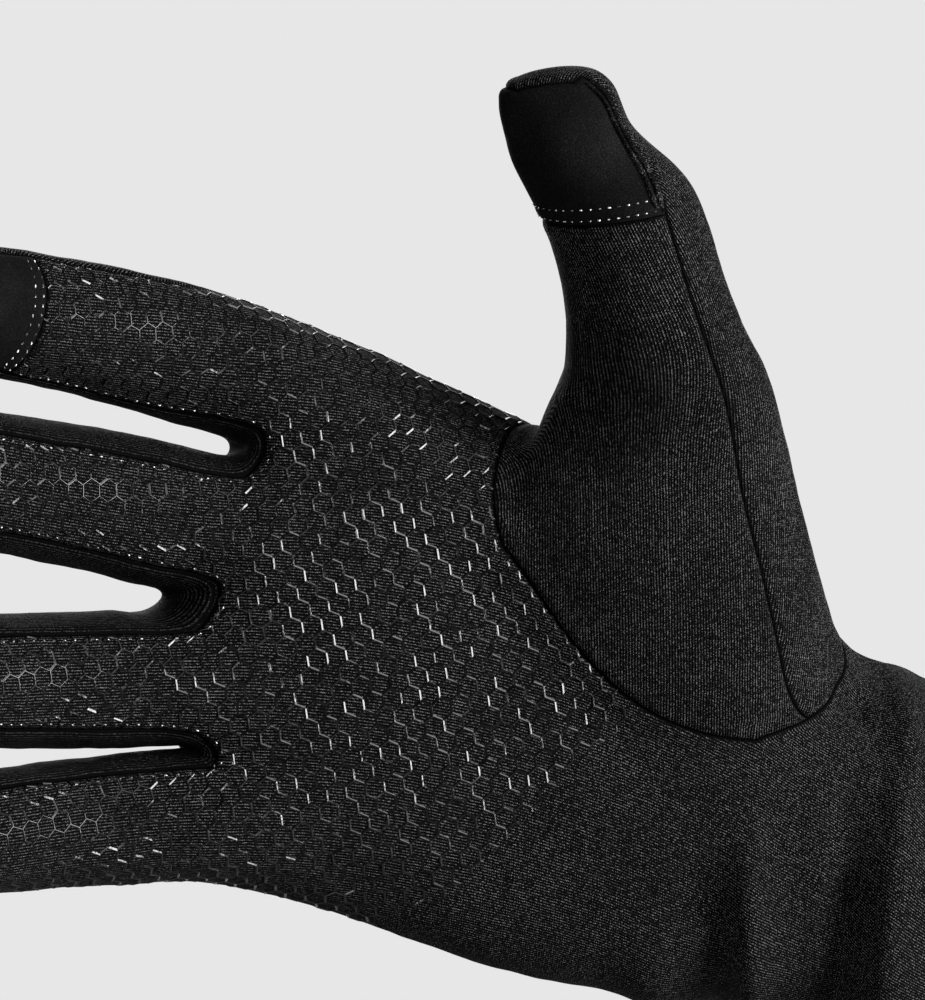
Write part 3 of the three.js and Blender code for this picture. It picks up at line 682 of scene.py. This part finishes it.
def eased_flats(quads, flats, relaxed):
    """Flat places for a panel's points that keep the edge lengths, from a first guess."""
    used, local = np.unique(quads, return_inverse=True)
    local = local.reshape(-1, 4)
    guess = np.zeros((len(used), 2))
    guess[local.ravel()] = flats.reshape(-1, 2)
    a, b = local.ravel(), np.roll(local, -1, axis=1).ravel()
    inner = np.ones(len(used), bool)
    inner[np.unique(open_sides(local))] = False
    ends, starts = np.concatenate([a, b]), np.concatenate([b, a])
    degree = np.bincount(ends, minlength=len(used))[:, None]
    for _ in range(relaxed):
        mean = np.stack([np.bincount(ends, g[starts], len(used)) for g in guess.T], 1) / degree
        guess[inner] = mean[inner]
    tris = np.vstack([local[:, o] for o in ([0, 1, 2], [0, 2, 3], [1, 2, 3], [0, 1, 3])])
    p = points[used][tris]
    ab, ac = p[:, 1] - p[:, 0], p[:, 2] - p[:, 0]
    long = np.maximum(np.linalg.norm(ab, axis=1), 1e-6)
    along = (ab * ac).sum(1) / long
    high = np.maximum(np.linalg.norm(np.cross(ab, ac), axis=1) / long, 1e-6)
    flat = np.stack([np.zeros_like(ab[:, :2]), np.stack([long, 0 * long], 1), np.stack([along, high], 1)], 1)
    from_k, to_k, weights, rests = [], [], [], []
    for i, j, k in ((0, 1, 2), (1, 2, 0), (2, 0, 1)):
        u, v = flat[:, i] - flat[:, k], flat[:, j] - flat[:, k]
        doubled = np.maximum(abs(u[:, 0] * v[:, 1] - u[:, 1] * v[:, 0]), 1e-6)
        from_k.append(tris[:, i])
        to_k.append(tris[:, j])
        weights.append(np.clip((u * v).sum(1) / doubled, 0.02, 20))
        rests.append(flat[:, i] - flat[:, j])
    from_k, to_k, rests = np.concatenate(from_k), np.concatenate(to_k), np.vstack(rests)
    weights = np.concatenate(weights)[:, None]
    count = len(used)

    def spread(pulls):
        """Adds what each side pulls to its two ends."""
        pulls = pulls * weights
        return np.stack([np.bincount(from_k, p, count) - np.bincount(to_k, p, count) for p in pulls.T], 1)

    place = guess.copy()
    for _ in range(EASE_ROUNDS):
        side = (place[from_k] - place[to_k]) * weights
        cross = (side[:, 1] * rests[:, 0] - side[:, 0] * rests[:, 1]).reshape(3, -1).sum(0)
        turn = np.tile(np.arctan2(cross, (side * rests).sum(1).reshape(3, -1).sum(0)), 3)
        c, s = np.cos(turn), np.sin(turn)
        turned = np.stack([c * rests[:, 0] - s * rests[:, 1], s * rests[:, 0] + c * rests[:, 1]], 1)
        left = spread(turned - place[from_k] + place[to_k]) + EASE_HOLD * (guess - place)
        step, size = left.copy(), (left**2).sum(0)
        for _ in range(EASE_STEPS):
            pulled = spread(step[from_k] - step[to_k]) + EASE_HOLD * step
            reach = size / np.maximum((step * pulled).sum(0), 1e-12)
            place = place + reach * step
            left = left - reach * pulled
            fresh = (left**2).sum(0)
            step = left + fresh / np.maximum(size, 1e-12) * step
            size = fresh
    return place[local]


def turned_ribs(x, start, over):
    """Side shift of ribs that turn steadily between start and start + over to a slope of one."""
    t = np.clip((x - start) / over, 0, 1)
    return over * (t**3 - t**4 / 2) + np.maximum(0, x - start - over)


for name in HAND_PANELS[:2] + tuple(THUMB_RIBS):
    own_quads, own_flats, own_names = stages[EASED_STAGE]
    own = own_names == PANELS.index(name)
    relaxed = BACK_RELAXED if "back" in name else 0
    own_flats[own] = eased_flats(own_quads[own], own_flats[own], relaxed)
for stage in range(EASED_STAGE + 1, LEVELS):
    stages[stage][1][:] = split_flats(stages[stage - 1][1])


def grain(name, flats):
    """The flat places turned so that the ribs run along their length, as the cloth was cut and stretched."""
    flats = flats.copy()
    x = flats[..., 0].copy()
    if name in HAND_PANELS:
        flats[..., 1] += RIB_TURN * turned_ribs(x, RIB_TURN_FROM, RIB_TURN_OVER)
    elif name in THUMB_RIBS:
        lean, start, over, turn = THUMB_RIBS[name]
        flats[..., 1] += lean * x + turn * turned_ribs(x, start, over)
    return flats


# Materials
def material(name):
    m = bpy.data.materials.new(name)
    m.use_nodes = True
    return m, Graph(m.node_tree), m.node_tree.nodes["Principled BSDF"]


class Graph:
    """Short calls for adding nodes."""

    def __init__(self, tree):
        self.tree = tree

    def node(self, kind, inputs=(), **settings):
        n = self.tree.nodes.new(kind)
        for key, value in settings.items():
            setattr(n, key, value)
        return self.feed(n, inputs)

    def feed(self, n, inputs):
        for key, value in dict(inputs).items():
            if isinstance(value, bpy.types.NodeSocket):
                self.tree.links.new(value, n.inputs[key])
            else:
                n.inputs[key].default_value = value
        return n

    def finish(self, shader, colour, height, strength, depth, rough, specular):
        """The shader's colour, bump and shine."""
        bump = self.node("ShaderNodeBump", {"Height": height, "Strength": strength, "Distance": depth})
        shine = {"Roughness": rough, "Specular IOR Level": specular}
        self.feed(shader, {"Base Color": colour, "Normal": bump.outputs[0], **shine})

    def math(self, operation, a, b=0.0):
        return self.node("ShaderNodeMath", {0: a, 1: b}, operation=operation).outputs[0]

    def noise(self, vector, scale, detail, rough=0.5):
        inputs = {"Vector": vector, "Scale": scale, "Detail": detail, "Roughness": rough}
        return self.node("ShaderNodeTexNoise", inputs).outputs[0]

    def half_wave(self, angle):
        """A sine that runs from 0 to 1."""
        inputs = {0: self.math("SINE", angle), 1: 0.5, 2: 0.5}
        return self.node("ShaderNodeMath", inputs, operation="MULTIPLY_ADD").outputs[0]

    def ramp(self, value, stops):
        n = self.node("ShaderNodeValToRGB", {0: value})
        ramp = n.color_ramp
        while len(ramp.elements) < len(stops):
            ramp.elements.new(0.5)
        for element, (at, grey) in zip(ramp.elements, stops):
            element.position = at
            element.color = (grey, grey, grey * 1.04, 1)
        return n.outputs[0]


# Painted shade: the knit's colour is darkened towards each seam, out to this distance in millimetres, in place of
# the shade in the seam's groove
PAINTED_SEAM_SHADE_REACH = 0.5
COURSE = 0.38


def knit_material(name, dark, light, pitch=0.47, grid=0.0):
    m, g, shader = material(name)
    flat = g.node("ShaderNodeUVMap", uv_map="pattern").outputs[0]
    place = g.node("ShaderNodeTexCoord").outputs["Object"]
    parts = g.node("ShaderNodeSeparateXYZ", {0: flat})
    u, v = parts.outputs[0], parts.outputs[1]
    warp = g.math("MULTIPLY", g.math("SUBTRACT", g.noise(place, 160, 2), 0.5), 0.35)
    v = g.math("ADD", v, warp)
    wale = g.math("MULTIPLY", v, 2 * math.pi / pitch)
    rib = g.half_wave(wale)
    zigzag = g.math("MULTIPLY", g.math("ABSOLUTE", g.math("SINE", g.math("MULTIPLY", wale, 0.5))), COURSE * 0.9)
    stitch = g.half_wave(g.math("MULTIPLY", g.math("ADD", u, zigzag), 2 * math.pi / COURSE))
    fuzz = g.noise(place, 5200, 2, 0.7)
    # Random specks of tone; the brightest reach the ramp's top stop and paint glints of the yarn's sheen
    speck_and_painted_glint = g.math("SUBTRACT", g.noise(place, 4200, 1, 0.5), 0.5)
    cloud = g.math("SUBTRACT", g.noise(place, 46, 3), 0.5)
    height = g.math("ADD", g.math("MULTIPLY", rib, 0.62), g.math("MULTIPLY", stitch, 0.2))
    height = g.math("ADD", height, g.math("MULTIPLY", fuzz, 0.3))
    loops = g.math("MULTIPLY", g.math("MULTIPLY", rib, stitch), 0.54)
    tone = g.math("ADD", g.math("MULTIPLY", rib, 0.36), loops)
    tone = g.math("ADD", tone, g.math("MULTIPLY", speck_and_painted_glint, 1.9))
    tone = g.math("ADD", tone, g.math("MULTIPLY", cloud, 0.25))
    # Painted shade: the tone falls to 0.3 of itself at a seam, standing in for the groove's shade
    away = g.node("ShaderNodeSeparateXYZ", {0: g.node("ShaderNodeUVMap", uv_map="seam").outputs[0]}).outputs[0]
    shade = g.node("ShaderNodeMapRange", {0: away, 1: 0.05, 2: PAINTED_SEAM_SHADE_REACH, 3: 0.3, 4: 1.0})
    tone = g.math("MULTIPLY", tone, shade.outputs[0])
    if grid:
        lines = None
        for axis, gap in ((u, 3.1), (v, 2.7)):
            wave = g.math("SINE", g.math("MULTIPLY", axis, 2 * math.pi / gap))
            line = g.math("GREATER_THAN", wave, 0.985)
            lines = line if lines is None else g.math("MAXIMUM", lines, line)
        patchy = g.math("MULTIPLY", lines, g.math("GREATER_THAN", g.noise(place, 300, 2), 0.52))
        tone = g.math("ADD", tone, g.math("MULTIPLY", patchy, grid))
    # Painted highlight: the top stop, seven times the light tone, paints bright glints on the yarn; the lower
    # stops give the knit's own dark and light
    colour = g.ramp(tone, [(0.28, dark), (0.52, light * 0.2), (0.76, light), (0.98, light * 7)])
    g.finish(shader, colour, height, 1.0, 0.0002, 0.72, 0.01)
    return m


def suede_material(name):
    m, g, shader = material(name)
    place = g.node("ShaderNodeTexCoord").outputs["Object"]
    nap = g.noise(place, 5200, 2, 0.6)
    brushed = g.noise(place, 90, 3, 0.6)
    cells = g.node("ShaderNodeTexVoronoi", {"Vector": place, "Scale": 2300}).outputs[0]
    height = g.math("ADD", g.math("MULTIPLY", nap, 0.7), g.math("MULTIPLY", cells, 0.5))
    tone = g.math("ADD", g.math("MULTIPLY", nap, 0.8), g.math("MULTIPLY", brushed, 0.3))
    colour = g.ramp(tone, [(0.38, 0.0003), (0.62, 0.0018), (0.78, 0.006)])
    g.finish(shader, colour, height, 0.6, 0.00012, 0.9, 0.01)
    return m


def print_material(name):
    m, g, shader = material(name)
    place = g.node("ShaderNodeTexCoord").outputs["Object"]
    wear = g.noise(place, 900, 3)
    colour = g.ramp(wear, [(0.3, 0.0003), (0.75, 0.001)])
    rough = g.node("ShaderNodeMapRange", {0: wear, 1: 0.3, 2: 0.7, 3: 0.14, 4: 0.24}).outputs[0]
    g.finish(shader, colour, g.noise(place, 1700, 2), 0.5, 0.00008, rough, 0.085)
    return m


def thread_material(name):
    m, g, shader = material(name)
    place = g.node("ShaderNodeTexCoord").outputs["Object"]
    ply = g.node("ShaderNodeTexWave", {"Vector": place, "Scale": 900, "Distortion": 2.0}).outputs[1]
    tone = g.math("ADD", g.math("MULTIPLY", ply, 0.2), g.noise(place, 1300, 1))
    # Painted highlight: the black thread's tone climbs to 0.35 in patches, painting whitish glints on its stitches
    colour = g.ramp(tone, [(0.46, 0.002), (0.6, 0.012), (0.8, 0.35)])
    g.finish(shader, colour, ply, 0.5, 0.00006, 0.45, 0.2)
    return m


KNIT = knit_material("ribbed_knit", 0.0001, 0.0066)
# Painted shade: a darker copy of the knit, less than half as light, for the walls between the fingers, where shade
# falls
KNIT_WALLS_PAINTED_SHADE = knit_material("ribbed_knit_walls_painted_shade", 0.0001, 0.0028)
KNIT_THUMB = knit_material("ribbed_knit_thumb", 0.0001, 0.0062, pitch=0.52, grid=0.2)
SUEDE = suede_material("suede_patch")
PRINT = print_material("silicone_print")
THREAD = thread_material("sewing_thread")


def new_mesh(name, verts, polys, mat, smooth_faces=True):
    mesh = bpy.data.meshes.new(name)
    in_frame = (np.asarray(verts) - origin) / 1000
    mesh.from_pydata([tuple(p) for p in in_frame], [], [tuple(int(k) for k in f) for f in polys])
    mesh.validate()
    if smooth_faces:
        mesh.polygons.foreach_set("use_smooth", [True] * len(mesh.polygons))
    mesh.materials.append(mat)
    piece = bpy.data.objects.new(name, mesh)
    bpy.context.scene.collection.objects.link(piece)
    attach(piece, "root")
    return piece


# The panels: thick sheets with their edges rolled in at the seams
# The groove at a seam and the swell beside it: height, where, width
SEAM_GROOVE = (-0.4, 0, 0.5)
SEAM_SWELL = (0.12, 1.5, 0.8)
HEM_GROOVE_SHARE = 0.5
SEAM_SEEN = 3.0


class Panel:
    pass


panels = {}


def border_points(name):
    """The points on a panel's border at the finest level."""
    all_quads, _, all_names = stages[-1]
    return {k for side in open_sides(all_quads[all_names == PANELS.index(name)]) for k in side}


borders = {name: border_points(name) for name in PANELS}


def build_panel(name, level):
    all_quads, all_flats, all_names = stages[level - 1]
    own = all_names == PANELS.index(name)
    q, f = all_quads[own], all_flats[own]
    used, local = np.unique(q, return_inverse=True)
    local = local.reshape(-1, 4)
    pos, nor = points[used].copy(), normals[used]
    rim = open_sides(local)
    pull = np.zeros_like(pos)
    for s, t in rim:
        across = unit(np.cross(nor[s] + nor[t], pos[t] - pos[s]))
        pull[s] += across
        pull[t] += across
    edge = np.unique(np.array(rim))
    pull[edge] /= np.maximum(np.linalg.norm(pull[edge], axis=1), 1e-9)[:, None]
    tree = kdtree.KDTree(len(edge))
    for k in edge:
        tree.insert(Vector(pos[k]), int(k))
    tree.balance()
    away = np.array([tree.find(Vector(p))[2] for p in pos])
    pos[edge] += pull[edge] * SEAM_GAP / 2
    panel = Panel()
    panel.name, panel.local, panel.flats, panel.used, panel.rim = name, local, f, used, rim
    panel.pull, panel.away, panel.nor, panel.base = pull, away, nor, pos
    groove = sum(high * np.exp(-(((away - at) / width) ** 2)) for high, at, width in (SEAM_GROOVE, SEAM_SWELL))
    if name == "cuff_hem":
        groove *= HEM_GROOVE_SHARE
    panel.outer = pos + nor * groove[:, None]
    return panel


def panel_piece(panel, mat):
    n = len(panel.outer)
    inner = panel.base - panel.nor * WALL
    verts = np.vstack([panel.outer, inner])
    polys = panel.local.tolist() + (panel.local[:, ::-1] + n).tolist()
    polys += [[t, s, s + n, t + n] for s, t in panel.rim]
    piece = new_mesh(panel.name + "_cloth", verts, polys, mat)
    mesh = piece.data
    uv = mesh.uv_layers.new(name="pattern")
    ribs = grain(panel.name, panel.flats)
    corner_flat = {}
    for ring, flat in zip(panel.local.tolist(), ribs.tolist()):
        for k, c in zip(ring, flat):
            corner_flat[k] = c
    rows = ribs.reshape(-1, 2).tolist() + ribs[:, ::-1].reshape(-1, 2).tolist()
    for s, t in panel.rim:
        rows += [corner_flat[t], corner_flat[s], corner_flat[s], corner_flat[t]]
    uv.data.foreach_set("uv", np.array(rows, np.float32).ravel())
    seam = mesh.uv_layers.new(name="seam")
    corner = np.zeros(len(mesh.loops), int)
    mesh.loops.foreach_get("vertex_index", corner)
    away = np.minimum(panel.away, SEAM_SEEN)[corner % n]
    seam.data.foreach_set("uv", np.stack([away, 0 * away], 1).astype(np.float32).ravel())
    sharp = {tuple(sorted(e)) for e in panel.rim} | {tuple(sorted((s + n, t + n))) for s, t in panel.rim}
    pairs = np.zeros(len(mesh.edges) * 2, int)
    mesh.edges.foreach_get("vertices", pairs)
    flags = [tuple(sorted(p)) in sharp for p in pairs.reshape(-1, 2).tolist()]
    mesh.attributes.new("sharp_edge", "BOOLEAN", "EDGE").data.foreach_set("value", flags)
    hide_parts(panel.name)


DETAIL = {"back_panel": 3, "thumb_back_panel": 3, "cuff_hem": 3}
LOOKS = {
    "thumb_touch_patch": (SUEDE, "touch_patch"),
    "index_touch_patch": (SUEDE, "touch_patch"),
    "fourchette_index_middle": (KNIT_WALLS_PAINTED_SHADE, "knit"),
    "fourchette_middle_ring": (KNIT_WALLS_PAINTED_SHADE, "knit"),
    "fourchette_ring_little": (KNIT_WALLS_PAINTED_SHADE, "knit"),
    "thumb_front_panel": (KNIT_THUMB, "knit"),
    "thumb_back_panel": (KNIT_THUMB, "knit"),
}
for name in PANELS:
    panels[name] = build_panel(name, DETAIL.get(name, LEVELS))
for name in PANELS:
    mat, slot = LOOKS.get(name, (KNIT, "knit"))
    panel_piece(panels[name], mat)


# The honeycomb print: raised lines on the palm side, laid out on the flat pattern
FLAT_SLACK = 0.01
RIDGE_SINK = 0.05
CROWN_SHARE = 0.08


class FlatMap:
    """Finds the place and outward direction on a panel for a point of its flat pattern."""

    def __init__(self, panel):
        tris, flat = [], []
        for ring, f in zip(panel.local, panel.flats):
            for o in ((0, 1, 2), (0, 2, 3)):
                tris.append(ring[list(o)])
                flat.append(f[list(o)])
        self.tris, self.flat = np.array(tris), np.array(flat)
        verts = [(x, y, 0) for t in self.flat for x, y in t]
        self.tree = BVHTree.FromPolygons(verts, [(3 * i, 3 * i + 1, 3 * i + 2) for i in range(len(tris))])
        self.panel = panel
        self.nor = outwards(panel.outer, panel.local)

    def find(self, u, v):
        hit = self.tree.find_nearest((u, v, 0), 0.5)
        if hit[0] is None or hit[3] > FLAT_SLACK:
            return None
        a, b, c = self.flat[hit[2]]
        m = np.array([[b[0] - a[0], c[0] - a[0]], [b[1] - a[1], c[1] - a[1]]])
        det = m[0, 0] * m[1, 1] - m[0, 1] * m[1, 0]
        if abs(det) < 1e-9:
            return None
        dx, dy = u - a[0], v - a[1]
        s = (m[1, 1] * dx - m[0, 1] * dy) / det
        t = (m[0, 0] * dy - m[1, 0] * dx) / det
        i, j, k = self.tris[hit[2]]
        p, n = self.panel.outer, self.nor
        w = 1 - s - t
        return p[i] * w + p[j] * s + p[k] * t, unit(n[i] * w + n[j] * s + n[k] * t)


def ridge(verts, polys, line, width, height, crown):
    """Adds one raised line, with sloping sides and a narrow crown, along places with outward directions."""
    start = len(verts)
    n = len(line)
    for i, (p, out) in enumerate(line):
        ahead = line[min(i + 1, n - 1)][0] - line[max(i - 1, 0)][0]
        side = unit(np.cross(out, ahead)) * width / 2
        top = p + out * height + side * crown
        verts += [p - side - out * RIDGE_SINK, top - side * CROWN_SHARE]
        verts += [top + side * CROWN_SHARE, p + side - out * RIDGE_SINK]
    for i in range(n - 1):
        k = start + 4 * i
        for j in range(4):
            m = (j + 1) % 4
            polys.append((k + j, k + 4 + j, k + 4 + m, k + m))
    polys.append((start, start + 1, start + 2, start + 3))
    k = start + 4 * (n - 1)
    polys.append((k + 3, k + 2, k + 1, k))


HEX_PITCH = 3.1
PRINT_WIDTH = 0.58
PRINT_RISE = 0.12
PRINT_UNEVEN = 0.4
PRINT_RISES = (0.8, 1.2)
PRINT_LEAST = 0.15
PRINT_END_U = 80
FINGERS_END_U = 4
CLIP_ROUNDS = 6
uneven = np.random.default_rng(7)
HEX_SIDE = HEX_PITCH / math.sqrt(3)
PRINT_EDGE_V = [-75, -53, -49.8, -44.2, -28.2, -19.4, -10]
PRINT_EDGE_U = [14, 23.8, 31.3, 36.4, 51.5, 62.5, 75]

palm_map = FlatMap(panels["palm_panel"])


def printed(u, v):
    if u > np.interp(v, PRINT_EDGE_V, PRINT_EDGE_U):
        return None
    return palm_map.find(u, v)


def clipped(a, b):
    """The part of a printed line that lies on the panel, or None."""
    inside_a, inside_b = printed(*a) is not None, printed(*b) is not None
    if not inside_a and not inside_b:
        return None
    if inside_a and inside_b:
        return a, b
    if inside_b:
        a, b = b, a
    low, high = 0.0, 1.0
    for _ in range(CLIP_ROUNDS):
        middle = (low + high) / 2
        if printed(*(a + (b - a) * middle)) is not None:
            low = middle
        else:
            high = middle
    return (a, a + (b - a) * low) if low > PRINT_LEAST else None


HEX_TURN = math.radians(9)
hex_along = np.array([math.cos(HEX_TURN), math.sin(HEX_TURN)])
hex_up = np.array([-hex_along[1], hex_along[0]])
places = panels["palm_panel"].flats.reshape(-1, 2)
turned = np.stack([places @ hex_along, places @ hex_up], 1)
low_u, low_v = turned.min(0)
high_u, high_v = turned.max(0)
prints = {"finger_grip_print": ([], []), "palm_grip_print": ([], [])}
row = 0
v = low_v - HEX_SIDE
while v < high_v + HEX_SIDE:
    u = low_u - HEX_PITCH + (HEX_PITCH / 2 if row % 2 else 0)
    while u < min(high_u, PRINT_END_U):
        centre = u * hex_along + v * hex_up
        tips = []
        for angle in (0, math.radians(60), math.radians(120), math.radians(180)):
            tips.append(centre + HEX_SIDE * (math.sin(angle) * hex_along + math.cos(angle) * hex_up))
        for a, b in zip(tips[:-1], tips[1:]):
            part = clipped(a, b)
            if part is None:
                continue
            a2, b2 = part
            line = [printed(*(a2 + (b2 - a2) * t)) for t in (0.0, 0.5, 1.0)]
            if any(x is None for x in line):
                continue
            if max(np.linalg.norm(line[k + 1][0] - line[k][0]) for k in (0, 1)) > HEX_SIDE:
                continue
            key = "finger_grip_print" if a2[0] < FINGERS_END_U else "palm_grip_print"
            crown, rise = PRINT_UNEVEN * uneven.uniform(-1, 1), PRINT_RISE * uneven.uniform(*PRINT_RISES)
            ridge(*prints[key], line, PRINT_WIDTH, rise, crown)
        u += HEX_PITCH
    v += HEX_SIDE * 1.5
    row += 1
for name, (verts, polys) in prints.items():
    new_mesh(name, verts, polys, PRINT, smooth_faces=False)


# Seams: chains of points shared by two panels
def seam_chains(panel, other):
    shared = borders[panel.name] & borders[other.name]
    nexts = {s: t for s, t in panel.rim if panel.used[s] in shared and panel.used[t] in shared}
    starts = [s for s in nexts if s not in set(nexts.values())] or list(nexts)[:1]
    chains = []
    for s in starts:
        chain = [s]
        while chain[-1] in nexts and nexts[chain[-1]] != s:
            chain.append(nexts[chain[-1]])
        chains.append(chain)
    return chains


def seam_line(panel, chain, inset, step):
    """Places along a seam, set into the panel by inset, one step apart."""
    tree = BVHTree.FromPolygons(panel.outer.tolist(), panel.local.tolist())
    path = np.array([tree.find_nearest(Vector(panel.base[k] + panel.pull[k] * inset))[0] for k in chain])
    for _ in range(3):
        path[1:-1] = (path[:-2] + path[1:-1] * 2 + path[2:]) / 4
    runs = np.concatenate([[0], np.cumsum(np.linalg.norm(np.diff(path, axis=0), axis=1))])
    at = np.arange(0, runs[-1], step)
    out = []
    for s in at:
        p = np.array([np.interp(s, runs, path[:, j]) for j in range(3)])
        hit = tree.find_nearest(Vector(p))
        out.append((np.array(hit[0]), np.array(hit[1])))
    return out


def skin(polys, start, count, sides):
    """Closes count rings of points, numbered from start, into one solid."""
    for i in range(count - 1):
        for k in range(sides):
            m = (k + 1) % sides
            s = start + sides * i
            polys.append((s + k, s + m, s + sides + m, s + sides + k))
    polys.append(tuple(start + k for k in range(sides - 1, -1, -1)))
    e = start + sides * (count - 1)
    polys.append(tuple(e + k for k in range(sides)))


STITCH_LIFT = 0.22
TUBE_SIDES = 8


def capsule(verts, polys, a, b, out, radius, lift):
    """A short rounded stitch from a to b, pressed into the cloth at its ends."""
    along = b - a
    long = np.linalg.norm(along)
    if long < 1e-6:
        return
    along = along / long
    side = unit(np.cross(out, along))
    start = len(verts)
    stops = [(0.0, 0.35, -0.5), (0.18, 0.85, 0.1), (0.5, 1.0, 0.5), (0.82, 0.85, 0.1), (1.0, 0.35, -0.5)]
    for t, size, up in stops:
        c = a + (b - a) * t + out * lift * up
        for k in range(6):
            angle = math.pi * k / 3
            verts.append(c + side * math.cos(angle) * radius * size + out * math.sin(angle) * radius * size)
    skin(polys, start, len(stops), 6)


def stitch_row(verts, polys, line, radius, gap):
    for (a, out_a), (b, out_b) in zip(line[:-1], line[1:]):
        d = b - a
        capsule(verts, polys, a + d * gap / 2, b - d * gap / 2, unit(out_a + out_b), radius, STITCH_LIFT)


def tube(verts, polys, line, radius, lift):
    """A round piping along a line of places, sunk in by all but lift."""
    start = len(verts)
    n = len(line)
    for i, (p, out) in enumerate(line):
        ahead = unit(line[min(i + 1, n - 1)][0] - line[max(i - 1, 0)][0])
        side = unit(np.cross(out, ahead))
        up = np.cross(ahead, side)
        fade = min(1, 0.3 + 0.25 * i, 0.3 + 0.25 * (n - 1 - i))
        for k in range(TUBE_SIDES):
            angle = 2 * math.pi * k / TUBE_SIDES
            verts.append(p + up * lift + (side * math.cos(angle) + up * math.sin(angle)) * radius * fade)
    skin(polys, start, n, TUBE_SIDES)


verts, polys = [], []
for name, _ in WEBS:
    for other in ("palm_panel", "back_panel"):
        for chain in seam_chains(panels[other], panels[name]):
            stitch_row(verts, polys, seam_line(panels[other], chain, 1.3, 1.9), 0.09, 0.7)
new_mesh("finger_seam_stitches", verts, polys, THREAD)

verts, polys = [], []
for name, other, rows_at in (
    ("thumb_touch_patch", "thumb_front_panel", (0.8, 2.6)),
    ("index_touch_patch", "palm_panel", (0.9, 2.5)),
):
    for chain in seam_chains(panels[name], panels[other]):
        for inset in rows_at:
            stitch_row(verts, polys, seam_line(panels[name], chain, inset, 1.5), 0.12, 0.6)
new_mesh("patch_stitches", verts, polys, THREAD)

verts, polys = [], []
for chain in seam_chains(panels["thumb_touch_patch"], panels["thumb_back_panel"]):
    numbers = [panels["thumb_touch_patch"].used[k] for k in chain]
    patch_ends = (thumb_rings[r][THUMB_FRONT_CORNERS] for r in (THUMB_PATCH_RING, -1))
    ends = sorted(numbers.index(k) for k in patch_ends)
    chain = chain[ends[0] : ends[1] + 1]
    for inset, radius in ((0.5, 0.62), (1.75, 0.42)):
        line = seam_line(panels["thumb_touch_patch"], chain, inset, 0.9)
        tube(verts, polys, line, radius, 0.1)
piping = new_mesh("thumb_piping", verts, polys, KNIT_THUMB)
piping.data.uv_layers.new(name="seam").data.foreach_set("uv", np.tile((SEAM_SEEN, 0.0), len(piping.data.loops)))

verts, polys = [], []
for other in ("palm_panel", "back_panel"):
    for chain in seam_chains(panels["cuff_hem"], panels[other]):
        stitch_row(verts, polys, seam_line(panels["cuff_hem"], chain, 1.0, 2.2), 0.15, 0.25)
new_mesh("hem_stitches", verts, polys, THREAD)


# Floor, lights and camera
floor_mesh = bpy.data.meshes.new("floor")
FLOOR = [(-1.6, -1.6), (1.6, -1.6), (1.6, 1.0), (-1.6, 1.0)]
FLOOR_HEIGHT = -0.2
floor_mesh.from_pydata([(x, y, FLOOR_HEIGHT) for x, y in FLOOR], [], [(0, 1, 2, 3)])
floor = bpy.data.objects.new("floor", floor_mesh)
bpy.context.scene.collection.objects.link(floor)
pale, _, pale_shader = material("pale_floor")
pale_shader.inputs["Base Color"].default_value = (0.26, 0.26, 0.26, 1)
pale_shader.inputs["Roughness"].default_value = 0.9
floor_mesh.materials.append(pale)

world = bpy.data.worlds.new("studio")
bpy.context.scene.world = world
world.use_nodes = True
backdrop = world.node_tree.nodes["Background"]
backdrop.inputs[0].default_value = (0.799, 0.799, 0.799, 1)
seen = world.node_tree.nodes.new("ShaderNodeLightPath")
level = world.node_tree.nodes.new("ShaderNodeMapRange")
WORLD_LIGHT = 0.22
level.inputs["To Min"].default_value = WORLD_LIGHT
level.inputs["To Max"].default_value = 1.0
world.node_tree.links.new(seen.outputs["Is Camera Ray"], level.inputs["Value"])
world.node_tree.links.new(level.outputs[0], backdrop.inputs[1])
bpy.context.scene.view_settings.view_transform = "Standard"
bpy.context.scene.view_settings.look = "None"


def area_light(name, place, target, size, power):
    light = bpy.data.lights.new(name, "AREA")
    light.shape = "RECTANGLE"
    light.size, light.size_y = size
    light.energy = power
    lamp = bpy.data.objects.new(name, light)
    lamp.location = place
    lamp.rotation_euler = (Vector(target) - Vector(place)).to_track_quat("-Z", "Y").to_euler()
    bpy.context.scene.collection.objects.link(lamp)


MIDDLE = (-0.08, -0.03, 0.05)
area_light("key_right", (1.0, -0.4, 0.12), MIDDLE, (0.42, 0.5), 84)
area_light("key_upper_right", (0.6, -0.5, 0.9), MIDDLE, (0.5, 0.5), 24)
area_light("fill_front", (0.1, -1.3, 0.45), MIDDLE, (0.5, 0.5), 16)
area_light("fill_back", (-0.2, 1.3, 0.5), MIDDLE, (1.2, 1.2), 36)
area_light("glint_left", (-0.8, -0.8, 0.05), MIDDLE, (0.04, 0.3), 6)


camera = bpy.data.cameras.new("camera")
camera.sensor_fit = "VERTICAL"
camera.sensor_height = 36
camera.sensor_width = 36
camera.lens = 180
camera.clip_start = 0.01
eye = bpy.data.objects.new("camera", camera)
eye.location = (-0.0933, -0.8303, 0.0706)
eye.rotation_euler = (math.radians(90), 0, 0)
bpy.context.scene.collection.objects.link(eye)
bpy.context.scene.camera = eye
